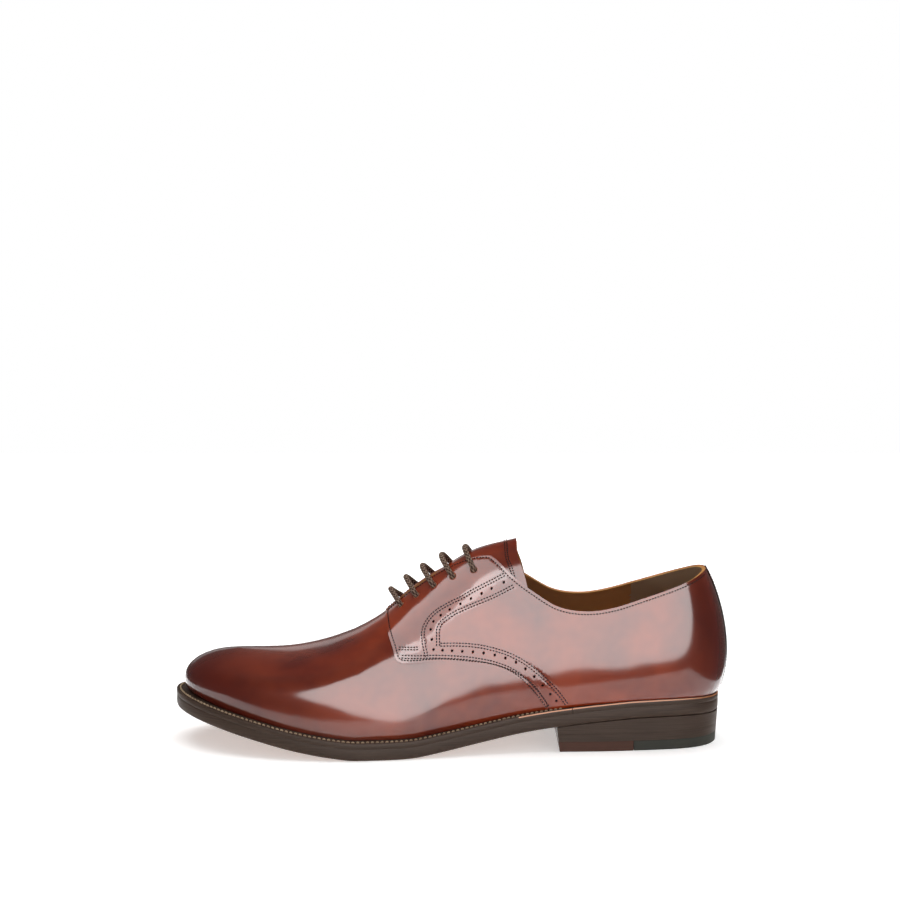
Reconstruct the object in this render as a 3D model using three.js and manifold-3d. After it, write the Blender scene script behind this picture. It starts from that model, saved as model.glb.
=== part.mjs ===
// Plain-toe derby, left shoe. Millimetres, +X to the toe, +Y to the outer side, +Z up.
// Inside this file x runs from the back of the sole (0) to its tip.
// At the end the group shifts it, so that the origin lies on the floor under the heel.
import * as THREE from "three";
import Module from "manifold-3d";

const wasm = await Module();
wasm.setup();

// Driving dimensions.
const soleLength = 301;
const ballWidth = 94; // of the upper where it meets the welt
const instepHeight = 94; // of the upper's ridge above the welt, at the top of the facings
const heelLift = 18.4; // of the outsole's underside above the floor, at the heel
const toeSpring = 19; // of the outsole's underside above the floor, at the toe tip
const outsoleThickness = 6.4;
const weltThickness = 3;
const insoleThickness = 2.6;
const vampThickness = 2;
const quarterStep = 0.5; // by which the quarters stand above the vamp
const facingStep = 0.5; // by which the facings and their perforated band stand above the quarters
const backStripWidth = 6;
const tongueThickness = 1.6;
const tongueFront = 200; // of the tongue's hidden end under the vamp, from the back of the sole
const laceDiameter = 3;
const eyeletClearance = 0.5; // between a lace and the wall of its hole
const laceArch = 5; // by which a lace bar bows up between the facings
const seam = 0.3; // gap between pieces that touch
const heelBreast = 91.5; // from the back of the heel to its front face
const breastLean = 2; // by which that face stands further back at the floor
const topLiftThickness = 5.5;
const heelLiftCount = 2; // of leather layers above the top lift
const heelTaper = 1.2; // by which the heel is narrower all round at the floor
const rubberLength = 49; // of the rubber part of the top lift, from the back of the sole
const heelMargin = 1.2; // of the sole beyond the upper at the back
const toeMargin = 7; // of the sole beyond the upper at the toe
const edgeRound = 0.9; // of the outsole's lower edge
const weltSeat = 5; // by which welt and rand reach in under the upper
const weltEnd = 83; // from the back of the sole to the welt's ends
const heelRadius = 27; // of the upper in plan, where it meets the rand
const toeRadius = 23; // of the upper in plan, where it meets the welt
const toeShift = 3; // of the toe's tip towards the inner side
const heelInset = 38.8; // of the ridge's back end from the upper's
const toeInset = 28; // of the ridge's front end from the upper's
const originFromBack = 32;

// How finely the faceted forms follow their curves.
const upperColumns = 34; // of faces along one side of the upper
const upperRows = 12; // of faces from the welt to the ridge
const soleColumns = 48; // of faces along one side of the sole
const weltColumns = 58; // of faces along the whole welt
const randColumns = 22; // of faces along the whole rand
const heelColumns = 11; // of faces along one side of a heel piece
const outlineSteps = 40; // along a cut outline
const throatSteps = 16; // along one edge of the gap between the facings
const holeSides = 12; // of a lace hole
const laceSteps = 22; // along a lace bar
const laceCurve = 4; // steps in a part of a lace's round

// How fast forms swell towards an end, as powers of the way there.
const toeSwing = 4; // of the toe's shift to the inner side
const toeDraw = 5; // of the ridge's inset at the toe
const heelDraw = 3.5; // of the ridge's inset at the heel
const bellyRise = 0.65; // of a rib's bulge; below 1 it lies low

// The line where the upper meets the welt: half widths as shares of ballWidth,
// at shares of that line's length.
const featherLine = [
  { at: 0.1, outer: 0.293, inner: 0.282 },
  { at: 0.2, outer: 0.33, inner: 0.309 },
  { at: 0.32, outer: 0.334, inner: 0.296 },
  { at: 0.42, outer: 0.362, inner: 0.293 },
  { at: 0.52, outer: 0.425, inner: 0.345 },
  { at: 0.62, outer: 0.485, inner: 0.43 },
  { at: 0.7, outer: 0.505, inner: 0.474 },
  { at: 0.78, outer: 0.482, inner: 0.455 },
  { at: 0.86, outer: 0.42, inner: 0.395 },
  { at: 0.93, outer: 0.316, inner: 0.3 },
];

// The ridge of the upper: height above the welt as a share of instepHeight,
// and sideways place as a share of ballWidth.
// Here and in every table below that says no other, "at" is a share of soleLength from the back.
const ridgeLine = [
  { at: 0.1, height: 1.03, aside: 0 },
  { at: 0.2, height: 1.036, aside: -0.008 },
  { at: 0.3, height: 1.023, aside: -0.018 },
  { at: 0.38, height: 0.994, aside: -0.026 },
  { at: 0.45, height: 0.975, aside: -0.032 },
  { at: 0.5, height: 0.915, aside: -0.034 },
  { at: 0.54, height: 0.836, aside: -0.034 },
  { at: 0.575, height: 0.752, aside: -0.034 },
  { at: 0.615, height: 0.64, aside: -0.033 },
  { at: 0.65, height: 0.566, aside: -0.033 },
  { at: 0.7, height: 0.478, aside: -0.032 },
  { at: 0.75, height: 0.406, aside: -0.032 },
  { at: 0.8, height: 0.352, aside: -0.032 },
  { at: 0.85, height: 0.318, aside: -0.032 },
  { at: 0.9, height: 0.292, aside: -0.032 },
];

// The cross section, at shares of the upper's length: how square its shoulder is,
// how flat its crown, and its bulge as a share of ballWidth.
const sections = [
  { at: 0, shoulder: 2.1, crown: 2, bulge: 0.066 },
  { at: 0.12, shoulder: 2.1, crown: 2, bulge: 0.05 },
  { at: 0.27, shoulder: 2.1, crown: 2.1, bulge: 0.038 },
  { at: 0.38, shoulder: 2.3, crown: 2.3, bulge: 0.032 },
  { at: 0.45, shoulder: 2.5, crown: 2.4, bulge: 0.028 },
  { at: 0.52, shoulder: 2.3, crown: 2.2, bulge: 0.022 },
  { at: 0.57, shoulder: 2.3, crown: 2.05, bulge: 0.016 },
  { at: 0.62, shoulder: 2.8, crown: 2, bulge: 0.01 },
  { at: 0.68, shoulder: 4, crown: 2, bulge: 0.004 },
  { at: 0.76, shoulder: 4.6, crown: 2, bulge: 0.003 },
  { at: 0.87, shoulder: 4.2, crown: 2, bulge: 0.008 },
  { at: 1, shoulder: 3.6, crown: 2, bulge: 0.03 },
];

// The underside of the outsole: shares of heelLift and of toeSpring. It is flat on the floor under the ball.
const underside = [
  { at: 0, heel: 0.95, toe: 0 },
  { at: 0.07, heel: 1, toe: 0 },
  { at: 0.15, heel: 0.98, toe: 0 },
  { at: 0.22, heel: 0.9, toe: 0 },
  { at: 0.304, heel: 0.74, toe: 0 },
  { at: 0.365, heel: 0.59, toe: 0 },
  { at: 0.42, heel: 0.42, toe: 0 },
  { at: 0.475, heel: 0.25, toe: 0 },
  { at: 0.53, heel: 0.09, toe: 0 },
  { at: 0.56, heel: 0.02, toe: 0 },
  { at: 0.59, heel: 0, toe: 0 },
  { at: 0.66, heel: 0, toe: 0 },
  { at: 0.71, heel: 0, toe: 0.08 },
  { at: 0.77, heel: 0, toe: 0.23 },
  { at: 0.845, heel: 0, toe: 0.48 },
  { at: 0.92, heel: 0, toe: 0.74 },
  { at: 1, heel: 0, toe: 1 },
];

// The sole's margin beyond the upper: how far it has grown from heelMargin towards toeMargin.
const margins = [
  { at: 0, grown: 0 },
  { at: 0.15, grown: 0.04 },
  { at: 0.3, grown: 0.3 },
  { at: 0.42, grown: 0.52 },
  { at: 0.55, grown: 0.8 },
  { at: 0.7, grown: 0.9 },
  { at: 0.85, grown: 0.93 },
  { at: 1, grown: 1 },
];

// Side outlines, as heights above the welt in shares of instepHeight.
// The topline runs from the back seam down round the ankle and up to the top of the facings.
const topline = [
  { at: 0, height: 0.745 },
  { at: 0.028, height: 0.722 },
  { at: 0.07, height: 0.664 },
  { at: 0.143, height: 0.592 },
  { at: 0.2, height: 0.549 },
  { at: 0.25, height: 0.543 },
  { at: 0.3, height: 0.587 },
  { at: 0.345, height: 0.69 },
  { at: 0.38, height: 0.788 },
  { at: 0.402, height: 0.868 },
  { at: 0.42, height: 0.923 },
  { at: 0.437, height: 0.972 },
  { at: 0.446, height: 1.02 },
];

// The quarter's edge, from the front of its facing down the tab and back along the band to the welt.
const quarterEdge = [
  { at: 0.614, height: 0.7 },
  { at: 0.611, height: 0.63 },
  { at: 0.605, height: 0.566 },
  { at: 0.597, height: 0.502 },
  { at: 0.592, height: 0.449 },
  { at: 0.585, height: 0.43 },
  { at: 0.57, height: 0.421 },
  { at: 0.53, height: 0.414 },
  { at: 0.495, height: 0.395 },
  { at: 0.458, height: 0.36 },
  { at: 0.43, height: 0.331 },
  { at: 0.402, height: 0.288 },
  { at: 0.375, height: 0.229 },
  { at: 0.356, height: 0.176 },
  { at: 0.343, height: 0.127 },
  { at: 0.334, height: 0.079 },
  { at: 0.326, height: 0.034 },
  { at: 0.319, height: -0.06 },
];

// The back edge of facing and band: along the facing, round the corner of the tab and down the band.
const bandEdge = [
  { at: 0.35, height: 0.8 },
  { at: 0.371, height: 0.738 },
  { at: 0.393, height: 0.722 },
  { at: 0.412, height: 0.705 },
  { at: 0.449, height: 0.682 },
  { at: 0.485, height: 0.654 },
  { at: 0.5, height: 0.634 },
  { at: 0.508, height: 0.611 },
  { at: 0.511, height: 0.578 },
  { at: 0.513, height: 0.517 },
  { at: 0.505, height: 0.498 },
  { at: 0.476, height: 0.495 },
  { at: 0.439, height: 0.463 },
  { at: 0.402, height: 0.41 },
  { at: 0.365, height: 0.327 },
  { at: 0.329, height: 0.234 },
  { at: 0.299, height: 0.117 },
  { at: 0.282, height: 0.043 },
  { at: 0.272, height: -0.06 },
];

// The tongue from the side: its lower edge under the quarters and its free edge above the facings.
const tongueEdge = [
  { at: 0.352, height: 0.68 },
  { at: 0.361, height: 0.8 },
  { at: 0.369, height: 0.88 },
  { at: 0.374, height: 0.94 },
  { at: 0.378, height: 1.2 },
];

// The gap between the facings: half of its width as a share of ballWidth.
const throat = [
  { at: 0.36, half: 0.22 },
  { at: 0.4, half: 0.195 },
  { at: 0.45, half: 0.165 },
  { at: 0.5, half: 0.13 },
  { at: 0.535, half: 0.098 },
  { at: 0.57, half: 0.058 },
  { at: 0.6, half: 0.034 },
  { at: 0.63, half: 0.03 },
];
const vampThroat = 0.585; // where the vamp ends under the facings
const tongueTipHeight = 0.3; // of the lower corner of the tongue's hidden end

// The lace holes, from the front: places along the ridge,
// and how far each lies out from the middle as a share of ballWidth.
const eyelets = [
  { at: 0.587, out: 0.144 },
  { at: 0.561, out: 0.17 },
  { at: 0.533, out: 0.197 },
  { at: 0.502, out: 0.223 },
  { at: 0.465, out: 0.24 },
];

// A curve through one column of a table, without kinks.
function curveThrough(table, column) {
  const last = table.length - 1;
  const bend = new Array(table.length).fill(0);
  const load = new Array(table.length).fill(0);
  const slope = (i) => (table[i + 1][column] - table[i][column]) / (table[i + 1].at - table[i].at);
  for (let i = 1; i < last; i++) {
    const both = table[i + 1].at - table[i - 1].at;
    const share = (table[i].at - table[i - 1].at) / both;
    const pivot = share * bend[i - 1] + 2;
    bend[i] = (share - 1) / pivot;
    load[i] = ((6 * (slope(i) - slope(i - 1))) / both - share * load[i - 1]) / pivot;
  }
  for (let i = last - 1; i >= 0; i--) bend[i] = bend[i] * bend[i + 1] + load[i];
  return (at) => {
    const place = THREE.MathUtils.clamp(at, table[0].at, table[last].at);
    let i = 0;
    while (i < last - 1 && table[i + 1].at < place) i++;
    const step = table[i + 1].at - table[i].at;
    const b = (place - table[i].at) / step;
    const a = 1 - b;
    const curved = ((a ** 3 - a) * bend[i] + (b ** 3 - b) * bend[i + 1]) * (step ** 2 / 6);
    return a * table[i][column] + b * table[i + 1][column] + curved;
  };
}

// A curve through one column that stays level where neighbouring rows are level.
function levelCurve(table, column) {
  const last = table.length - 1;
  const slope = (i) => (table[i + 1][column] - table[i][column]) / (table[i + 1].at - table[i].at);
  const tangent = (i) => {
    if (i === 0 || i === last) return slope(i === 0 ? 0 : last - 1);
    const product = slope(i - 1) * slope(i);
    return product <= 0 ? 0 : (2 * product) / (slope(i - 1) + slope(i));
  };
  return (at) => {
    const place = THREE.MathUtils.clamp(at, table[0].at, table[last].at);
    let i = 0;
    while (i < last - 1 && table[i + 1].at < place) i++;
    const step = table[i + 1].at - table[i].at;
    const t = (place - table[i].at) / step;
    const rise = (table[i + 1][column] - table[i][column]) * t * t * (3 - 2 * t);
    const lead = t * (1 - t) ** 2 * step * tangent(i);
    const trail = t * t * (t - 1) * step * tangent(i + 1);
    return table[i][column] + rise + lead + trail;
  };
}

// Heights of the sole at a distance from its back.
const heelShare = levelCurve(underside, "heel");
const toeShare = levelCurve(underside, "toe");
const undersideAt = (x) => heelLift * heelShare(x / soleLength) + toeSpring * toeShare(x / soleLength);
const weltUnder = outsoleThickness + seam;
const weltTop = weltUnder + weltThickness;
const upperUnder = weltTop + seam;
const seatAt = (x) => undersideAt(x) + upperUnder;

// The upper's plan at the welt. A turn of 0 is the tip of the toe, and a quarter turn the outer side.
const upperLength = soleLength - heelMargin - toeMargin;
const upperMiddle = heelMargin + upperLength / 2;
const endWidth = (radius) => Math.sqrt((radius * upperLength) / 2);
const fullness = (at) => Math.sqrt(1 - (2 * at - 1) ** 2);
const widths = [
  { at: 0, outer: endWidth(heelRadius), inner: endWidth(heelRadius) },
  ...featherLine.map((row) => ({
    at: row.at,
    outer: (row.outer * ballWidth) / fullness(row.at),
    inner: (row.inner * ballWidth) / fullness(row.at),
  })),
  { at: 1, outer: endWidth(toeRadius), inner: endWidth(toeRadius) },
];
const outerWidth = curveThrough(widths, "outer");
const innerWidth = curveThrough(widths, "inner");
const lengthShare = (turn) => (1 + Math.cos(turn)) / 2;

function upperPlan(turn) {
  const at = lengthShare(turn);
  const width = Math.sin(turn) > 0 ? outerWidth(at) : innerWidth(at);
  const x = upperMiddle + (upperLength / 2) * Math.cos(turn);
  return new THREE.Vector2(x, width * Math.sin(turn) - toeShift * at ** toeSwing);
}

function outward(turn) {
  const small = 0.001;
  const along = upperPlan(turn + small).sub(upperPlan(turn - small));
  return new THREE.Vector2(along.y, -along.x).normalize();
}

// The sole's plan: the upper's, with the sole's margin and a further distance outward.
const grown = levelCurve(margins, "grown");
function solePlan(turn, further) {
  const margin = heelMargin + (toeMargin - heelMargin) * grown(upperPlan(turn).x / soleLength);
  return upperPlan(turn).addScaledVector(outward(turn), margin + further);
}
const seatPlan = (turn, inward) => upperPlan(turn).addScaledVector(outward(turn), -inward);

// The upper's ridge, above a point of its plan. Towards both ends it stands further in than the plan.
const ridgeShare = curveThrough(ridgeLine, "height");
const ridgeAside = curveThrough(ridgeLine, "aside");
const shoulder = curveThrough(sections, "shoulder");
const crown = levelCurve(sections, "crown");
const bulge = curveThrough(sections, "bulge");
function ridgePoint(turn) {
  const ahead = Math.cos(turn);
  const inset = ahead > 0 ? toeInset * ahead ** toeDraw : -heelInset * (-ahead) ** heelDraw;
  const x = upperMiddle + (upperLength / 2) * ahead - inset;
  const height = seatAt(x) + instepHeight * ridgeShare(x / soleLength);
  return new THREE.Vector3(x, ballWidth * ridgeAside(x / soleLength), height);
}

// A point of the vamp's outer face: a rib rises from the welt (0) to the ridge (1)
// as a quarter of a rounded oval.
function facePoint(turn, rise) {
  const at = lengthShare(turn);
  const square = shoulder(at);
  const swing = (Math.PI / 2) * rise ** (square / 2);
  const up = Math.sin(swing) ** (2 / square);
  const out = Math.cos(swing) ** (2 / crown(at));
  const foot = upperPlan(turn);
  const ridge = ridgePoint(turn);
  const belly = ballWidth * bulge(at) * Math.sin(Math.PI * up ** bellyRise);
  const side = outward(turn);
  return new THREE.Vector3(
    ridge.x + (foot.x - ridge.x) * out + side.x * belly,
    ridge.y + (foot.y - ridge.y) * out + side.y * belly,
    seatAt(foot.x) + (ridge.z - seatAt(foot.x)) * up,
  );
}

function faceNormal(turn, rise) {
  if (rise === 0) return new THREE.Vector3(outward(turn).x, outward(turn).y, 0);
  const small = 0.002;
  const height = Math.min(rise, 1 - 2 * small);
  const around = facePoint(turn + small, height).sub(facePoint(turn - small, height));
  const upward = facePoint(turn, height + small).sub(facePoint(turn, height - small));
  return around.cross(upward).normalize();
}

// A solid from triangles of points, where points at one place are one.
function solidFrom(faces) {
  const places = new Map();
  const vertices = [];
  const indexOf = (point) => {
    const key = point.toArray().map((v) => v.toFixed(4)).join();
    if (!places.has(key)) {
      places.set(key, places.size);
      vertices.push(...point.toArray());
    }
    return places.get(key);
  };
  const indexed = faces.map((face) => face.map(indexOf));
  const triangles = indexed.filter(([a, b, c]) => a !== b && b !== c && c !== a);
  const vertProperties = Float32Array.from(vertices);
  const triVerts = Uint32Array.from(triangles.flat());
  return new wasm.Manifold(new wasm.Mesh({ numProp: 3, vertProperties, triVerts }));
}

// Faces between two rings of equally many points, which look outward
// when the rings run anticlockwise from above.
function wall(lower, upper) {
  return lower.flatMap((point, i) => {
    const next = (i + 1) % lower.length;
    return [
      [point, lower[next], upper[next]],
      [point, upper[next], upper[i]],
    ];
  });
}

// Faces across a ring whose first half mirrors its second, looking down or up.
function lid(ring, looksUp) {
  const faces = [];
  for (let i = 0; i < ring.length / 2 - 1; i++) {
    const across = ring.length - 1 - i;
    faces.push([ring[i], ring[across], ring[across - 1]], [ring[i], ring[across - 1], ring[i + 1]]);
  }
  return looksUp ? faces.map(([a, b, c]) => [a, c, b]) : faces;
}

// A closed solid over rings, from the lowest to the highest.
function stack(rings) {
  const walls = rings.slice(1).flatMap((ring, i) => wall(rings[i], ring));
  return solidFrom([...lid(rings[0], false), ...walls, ...lid(rings.at(-1), true)]);
}

// Turns round the whole shoe, in equal steps that mirror from side to side.
function turnsInHalf(steps) {
  const side = Array.from({ length: steps }, (_, i) => ((i + 0.5) * Math.PI) / steps);
  return [...side, ...side.map((turn) => 2 * Math.PI - turn).reverse()];
}
const upperTurns = turnsInHalf(upperColumns);
const soleTurns = turnsInHalf(soleColumns);

// The closed form of the upper, grown outward by an offset, and lengthened downward by a drop.
function upperForm(offset, drop = 0) {
  const ringAt = (rise) =>
    upperTurns.map((turn) => facePoint(turn, rise).addScaledVector(faceNormal(turn, rise), offset));
  const ridge = upperTurns.map((turn) => {
    const normal = faceNormal(turn, 1).add(faceNormal(-turn, 1)).normalize();
    return facePoint(turn, 1).addScaledVector(normal, offset);
  });
  const rings = Array.from({ length: upperRows }, (_, row) => ringAt(row / upperRows));
  const foot = drop > 0 ? [rings[0].map((point) => point.clone().setZ(point.z - drop))] : [];
  return stack([...foot, ...rings, ridge]);
}

// A solid from a geometry of the library, and a geometry from a solid.
function solidOf(geometry) {
  const triangles = geometry.index ? geometry.toNonIndexed() : geometry;
  const place = triangles.getAttribute("position");
  const point = (i) => new THREE.Vector3().fromBufferAttribute(place, i);
  const corners = (i) => [point(3 * i), point(3 * i + 1), point(3 * i + 2)];
  return solidFrom(Array.from({ length: place.count / 3 }, (_, i) => corners(i)));
}

function geometryOf(solid) {
  const mesh = solid.getMesh();
  const geometry = new THREE.BufferGeometry();
  geometry.setAttribute("position", new THREE.BufferAttribute(new Float32Array(mesh.vertProperties), 3));
  geometry.setIndex(new THREE.BufferAttribute(new Uint32Array(mesh.triVerts), 1));
  return geometry;
}

// A cutter through the whole width, from a side outline of points along the sole
// and heights above the floor.
const cutterWidth = 2 * ballWidth;
function sideCutter(points) {
  const shape = new THREE.Shape(points);
  const geometry = new THREE.ExtrudeGeometry(shape, { depth: cutterWidth, bevelEnabled: false });
  geometry.rotateX(Math.PI / 2).translate(0, cutterWidth / 2, 0);
  return solidOf(geometry);
}

// The points of a side outline, rounded between the rows of its table.
function sideOutline(table) {
  const rows = table.map((row) => {
    const x = soleLength * row.at;
    return new THREE.Vector2(x, seatAt(x) + instepHeight * row.height);
  });
  return new THREE.SplineCurve(rows).getPoints(outlineSteps);
}

// Cut outlines: what lies above the topline, the quarters, the part of them that shows
// between facing and band, and the tongue. Their further corners lie well outside the shoe.
const corner = (x, z) => new THREE.Vector2(x, z);
const back = -soleLength / 2;
const overhead = instepHeight * 2;
const toplinePoints = sideOutline(topline);
const collarCutter = sideCutter([
  corner(back, toplinePoints[0].y),
  ...toplinePoints,
  corner(toplinePoints.at(-1).x, overhead),
  corner(back, overhead),
]);
const quarterPoints = sideOutline(quarterEdge);
const quarterCutter = sideCutter([
  corner(back, overhead),
  corner(back, -overhead),
  corner(quarterPoints.at(-1).x, -overhead),
  ...quarterPoints.toReversed(),
  corner(quarterPoints[0].x, overhead),
]);
const bandPoints = sideOutline(bandEdge);
const windowCutter = sideCutter([
  corner(back, bandPoints[0].y),
  corner(back, -overhead),
  corner(bandPoints.at(-1).x, -overhead),
  ...bandPoints.toReversed(),
]);
const tonguePoints = sideOutline(tongueEdge);
const tongueTip = new THREE.Vector2(tongueFront, seatAt(tongueFront) + instepHeight * tongueTipHeight);
const tongueCutter = sideCutter([
  tongueTip,
  corner(tongueFront, overhead),
  corner(tonguePoints.at(-1).x, overhead),
  ...tonguePoints.toReversed(),
]);

// The gap between the facings, from above, as far forward as a given place.
const throatHalf = curveThrough(throat, "half");
function throatCutter(foremost) {
  const hindmost = soleLength * throat[0].at;
  const edge = (side) =>
    Array.from({ length: throatSteps + 1 }, (_, i) => {
      const x = THREE.MathUtils.lerp(foremost, hindmost, i / throatSteps);
      const aside = ridgeAside(x / soleLength) + side * throatHalf(x / soleLength);
      return new THREE.Vector2(x, ballWidth * aside);
    });
  const geometry = new THREE.ExtrudeGeometry(new THREE.Shape([...edge(1), ...edge(-1).reverse()]), {
    depth: overhead,
    bevelEnabled: false,
  });
  return solidOf(geometry);
}

// The upper: vamp, quarters and facings are steps of one wall over the hollow of the last.
const vampFace = upperForm(0);
const quarterFace = upperForm(quarterStep);
const facingFace = upperForm(quarterStep + facingStep);
const lastHollow = upperForm(-vampThickness, upperUnder);

const backStripCutter = solidOf(new THREE.BoxGeometry(heelInset, backStripWidth, 2 * overhead));
const facingFront = soleLength * throat.at(-1).at;
const vamp = vampFace.subtract(throatCutter(soleLength * vampThroat));
const quarters = quarterFace.intersect(quarterCutter);
const facings = facingFace.intersect(quarterCutter).subtract(windowCutter);
const backStrip = facingFace.intersect(backStripCutter);
const overVamp = quarters.add(facings).add(backStrip).subtract(throatCutter(facingFront));
const upperShell = vamp.add(overVamp).subtract(lastHollow).subtract(collarCutter);

// Lace holes and laces stand square to the facings, in planes across the ridge.
const facingMesh = new THREE.Mesh(geometryOf(facingFace));
const tongueForm = upperForm(-vampThickness - seam);
const tongueMesh = new THREE.Mesh(geometryOf(tongueForm));

function ridgeAcross(at) {
  const x = soleLength * at;
  const heightAt = (place) => seatAt(place) + instepHeight * ridgeShare(place / soleLength);
  const slope = heightAt(x + 1) - heightAt(x - 1);
  return {
    middle: new THREE.Vector3(x, ballWidth * ridgeAside(at), heightAt(x)),
    up: new THREE.Vector3(-slope, 0, 2).normalize(),
  };
}

// The point of a face that lies straight under a place beside the ridge, and the face's direction there.
function pointOn(face, at, out) {
  const { middle, up } = ridgeAcross(at);
  const start = middle.clone().addScaledVector(up, instepHeight).add(new THREE.Vector3(0, out, 0));
  const hit = new THREE.Raycaster(start, up.clone().negate()).intersectObject(face)[0];
  return { point: hit.point, normal: hit.face.normal };
}

const holeRadius = laceDiameter / 2 + eyeletClearance;
const wallThickness = vampThickness + quarterStep + facingStep;
const drillLength = 4 * wallThickness;
function laceHole(at, out) {
  const { point, normal } = pointOn(facingMesh, at, out);
  const geometry = new THREE.CylinderGeometry(holeRadius, holeRadius, drillLength, holeSides);
  const turned = new THREE.Quaternion().setFromUnitVectors(new THREE.Vector3(0, 1, 0), normal);
  geometry.applyQuaternion(turned).translate(point.x, point.y, point.z);
  return solidOf(geometry);
}
const laceHoles = [1, -1].flatMap((way) =>
  eyelets.map(({ at, out }) => laceHole(at, way * ballWidth * out)),
);
const upperSolid = laceHoles.reduce((shell, hole) => shell.subtract(hole), upperShell);

// A lace bar rises from its hole, bends over the facing, crosses the tongue and goes down the other hole.
const laceHeight = laceDiameter / 2 + 1.5 * seam;
function laceBar(at, out) {
  const side = (way) => {
    const hole = pointOn(facingMesh, at, way * out);
    const above = (place) => {
      const { point, normal } = pointOn(facingMesh, at, way * place);
      return point.clone().addScaledVector(normal, laceHeight);
    };
    const inward = pointOn(facingMesh, at, way * (out - laceDiameter)).point.sub(hole.point).normalize();
    const bend = (along, height) =>
      hole.point.clone().addScaledVector(inward, along).addScaledVector(hole.normal, height);
    const edge = ballWidth * throatHalf(at);
    return [
      bend(0, -wallThickness / 2),
      bend(0, 0),
      bend(laceDiameter / 4, laceDiameter / 2),
      bend(laceDiameter, laceHeight),
      above((out + edge) / 2),
      above(edge),
    ];
  };
  const left = side(1);
  const right = side(-1);
  const chord = left.at(-1).clone().lerp(right.at(-1), 0.5);
  const { middle, up } = ridgeAcross(at);
  const overTongue = pointOn(tongueMesh, at, 0).point.addScaledVector(up, laceHeight + seam);
  const lift = Math.max(overTongue.sub(chord).dot(up), laceArch);
  const crest = chord.addScaledVector(up, lift);
  const extrudePath = new THREE.CatmullRomCurve3([...left, crest, ...right.reverse()]);
  const round = new THREE.Shape().absarc(0, 0, laceDiameter / 2, 0, 2 * Math.PI);
  const bar = { steps: laceSteps, curveSegments: laceCurve, extrudePath };
  return solidOf(new THREE.ExtrudeGeometry(round, bar));
}

// The tongue lies under the facings, along the last.
const tongueSolid = tongueForm
  .subtract(upperForm(-vampThickness - seam - tongueThickness, upperUnder))
  .intersect(tongueCutter);

// A ring round the sole's plan, at a height that may change along the sole.
const soleRing = (plan, height) =>
  soleTurns.map((turn) => {
    const { x, y } = plan(turn);
    return new THREE.Vector3(x, y, height(x));
  });
const above = (distance) => (x) => undersideAt(x) + distance;
const soleEdge = (further) => (turn) => solePlan(turn, further);
const seatEdge = (inward) => (turn) => seatPlan(turn, inward);

const outsoleSolid = stack([
  soleRing(soleEdge(-edgeRound), above(0)),
  soleRing(soleEdge(0), above(edgeRound)),
  soleRing(soleEdge(0), above(outsoleThickness)),
]);

// The insole, with the filling under it that closes the welt's ring.
const insoleSolid = stack([
  soleRing(seatEdge(weltSeat + seam), above(weltUnder)),
  soleRing(seatEdge(weltSeat + seam), above(upperUnder)),
  soleRing(seatEdge(vampThickness + seam), above(upperUnder)),
  soleRing(seatEdge(vampThickness + seam), above(upperUnder + insoleThickness)),
]);

// Welt and rand are strips with a flat section, laid round the sole's edge under the upper.
const turnAt = (x) => Math.acos(THREE.MathUtils.clamp((2 * (x - upperMiddle)) / upperLength, -1, 1));
function edgeStrip(from, to, columns) {
  const sectionAt = (turn) => {
    const edge = ({ x, y }, distance) => new THREE.Vector3(x, y, above(distance)(x));
    return [
      edge(solePlan(turn, 0), weltTop),
      edge(solePlan(turn, 0), weltUnder),
      edge(seatPlan(turn, weltSeat), weltUnder),
      edge(seatPlan(turn, weltSeat), weltTop),
    ];
  };
  const rings = Array.from({ length: columns + 1 }, (_, i) =>
    sectionAt(THREE.MathUtils.lerp(from, to, i / columns)),
  );
  const walls = rings.slice(1).flatMap((next, i) => wall(rings[i], next));
  const [a, b, c, d] = rings[0];
  const [e, f, g, h] = rings.at(-1);
  return solidFrom([...walls, [a, c, b], [a, d, c], [e, f, g], [e, g, h]]);
}
const weltTurn = turnAt(weltEnd);
const randTurn = turnAt(weltEnd - seam);
const weltSolid = edgeStrip(-weltTurn, weltTurn, weltColumns);
const randSolid = edgeStrip(randTurn, 2 * Math.PI - randTurn, randColumns);

// A piece of the heel between a front face and either a back face or the round back,
// from one height to another.
function heelPiece(frontOf, backAt, lower, upper) {
  const ring = (height) => {
    const frontAt = frontOf(height(frontOf(heelLift)));
    const sweep = Array.from({ length: heelColumns + 1 }, (_, i) =>
      THREE.MathUtils.lerp(turnAt(frontAt), turnAt(backAt), i / heelColumns),
    );
    const turns = [...sweep, ...sweep.map((turn) => 2 * Math.PI - turn).reverse()];
    const points = turns.map((turn) => {
      const narrower = heelTaper * (1 - height(upperPlan(turn).x) / heelLift);
      const { x, y } = solePlan(turn, -narrower);
      return new THREE.Vector3(x, y, height(x));
    });
    for (const end of [points[0], points.at(-1)]) end.setX(frontAt);
    if (backAt > 0) for (const end of points.slice(heelColumns, heelColumns + 2)) end.setX(backAt);
    for (const point of points) point.setZ(height(point.x));
    return points;
  };
  return stack([ring(lower), ring(upper)]);
}
const breastAt = (height) => heelBreast - breastLean * (1 - height / heelLift);
const flat = (height) => () => height;
const liftsFrom = topLiftThickness + seam;
const liftRise = (undersideAt(heelBreast) - liftsFrom) / heelLiftCount;
const heelLifts = Array.from({ length: heelLiftCount }, (_, i) => {
  const isTop = i === heelLiftCount - 1;
  const upper = isTop ? above(-seam) : flat(liftsFrom + (i + 1) * liftRise - seam);
  return heelPiece(breastAt, 0, flat(liftsFrom + i * liftRise), upper);
});
const rubberSolid = heelPiece(() => rubberLength, 0, flat(0), flat(topLiftThickness));
const leatherTipSolid = heelPiece(breastAt, rubberLength + seam, flat(0), flat(topLiftThickness));

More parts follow.
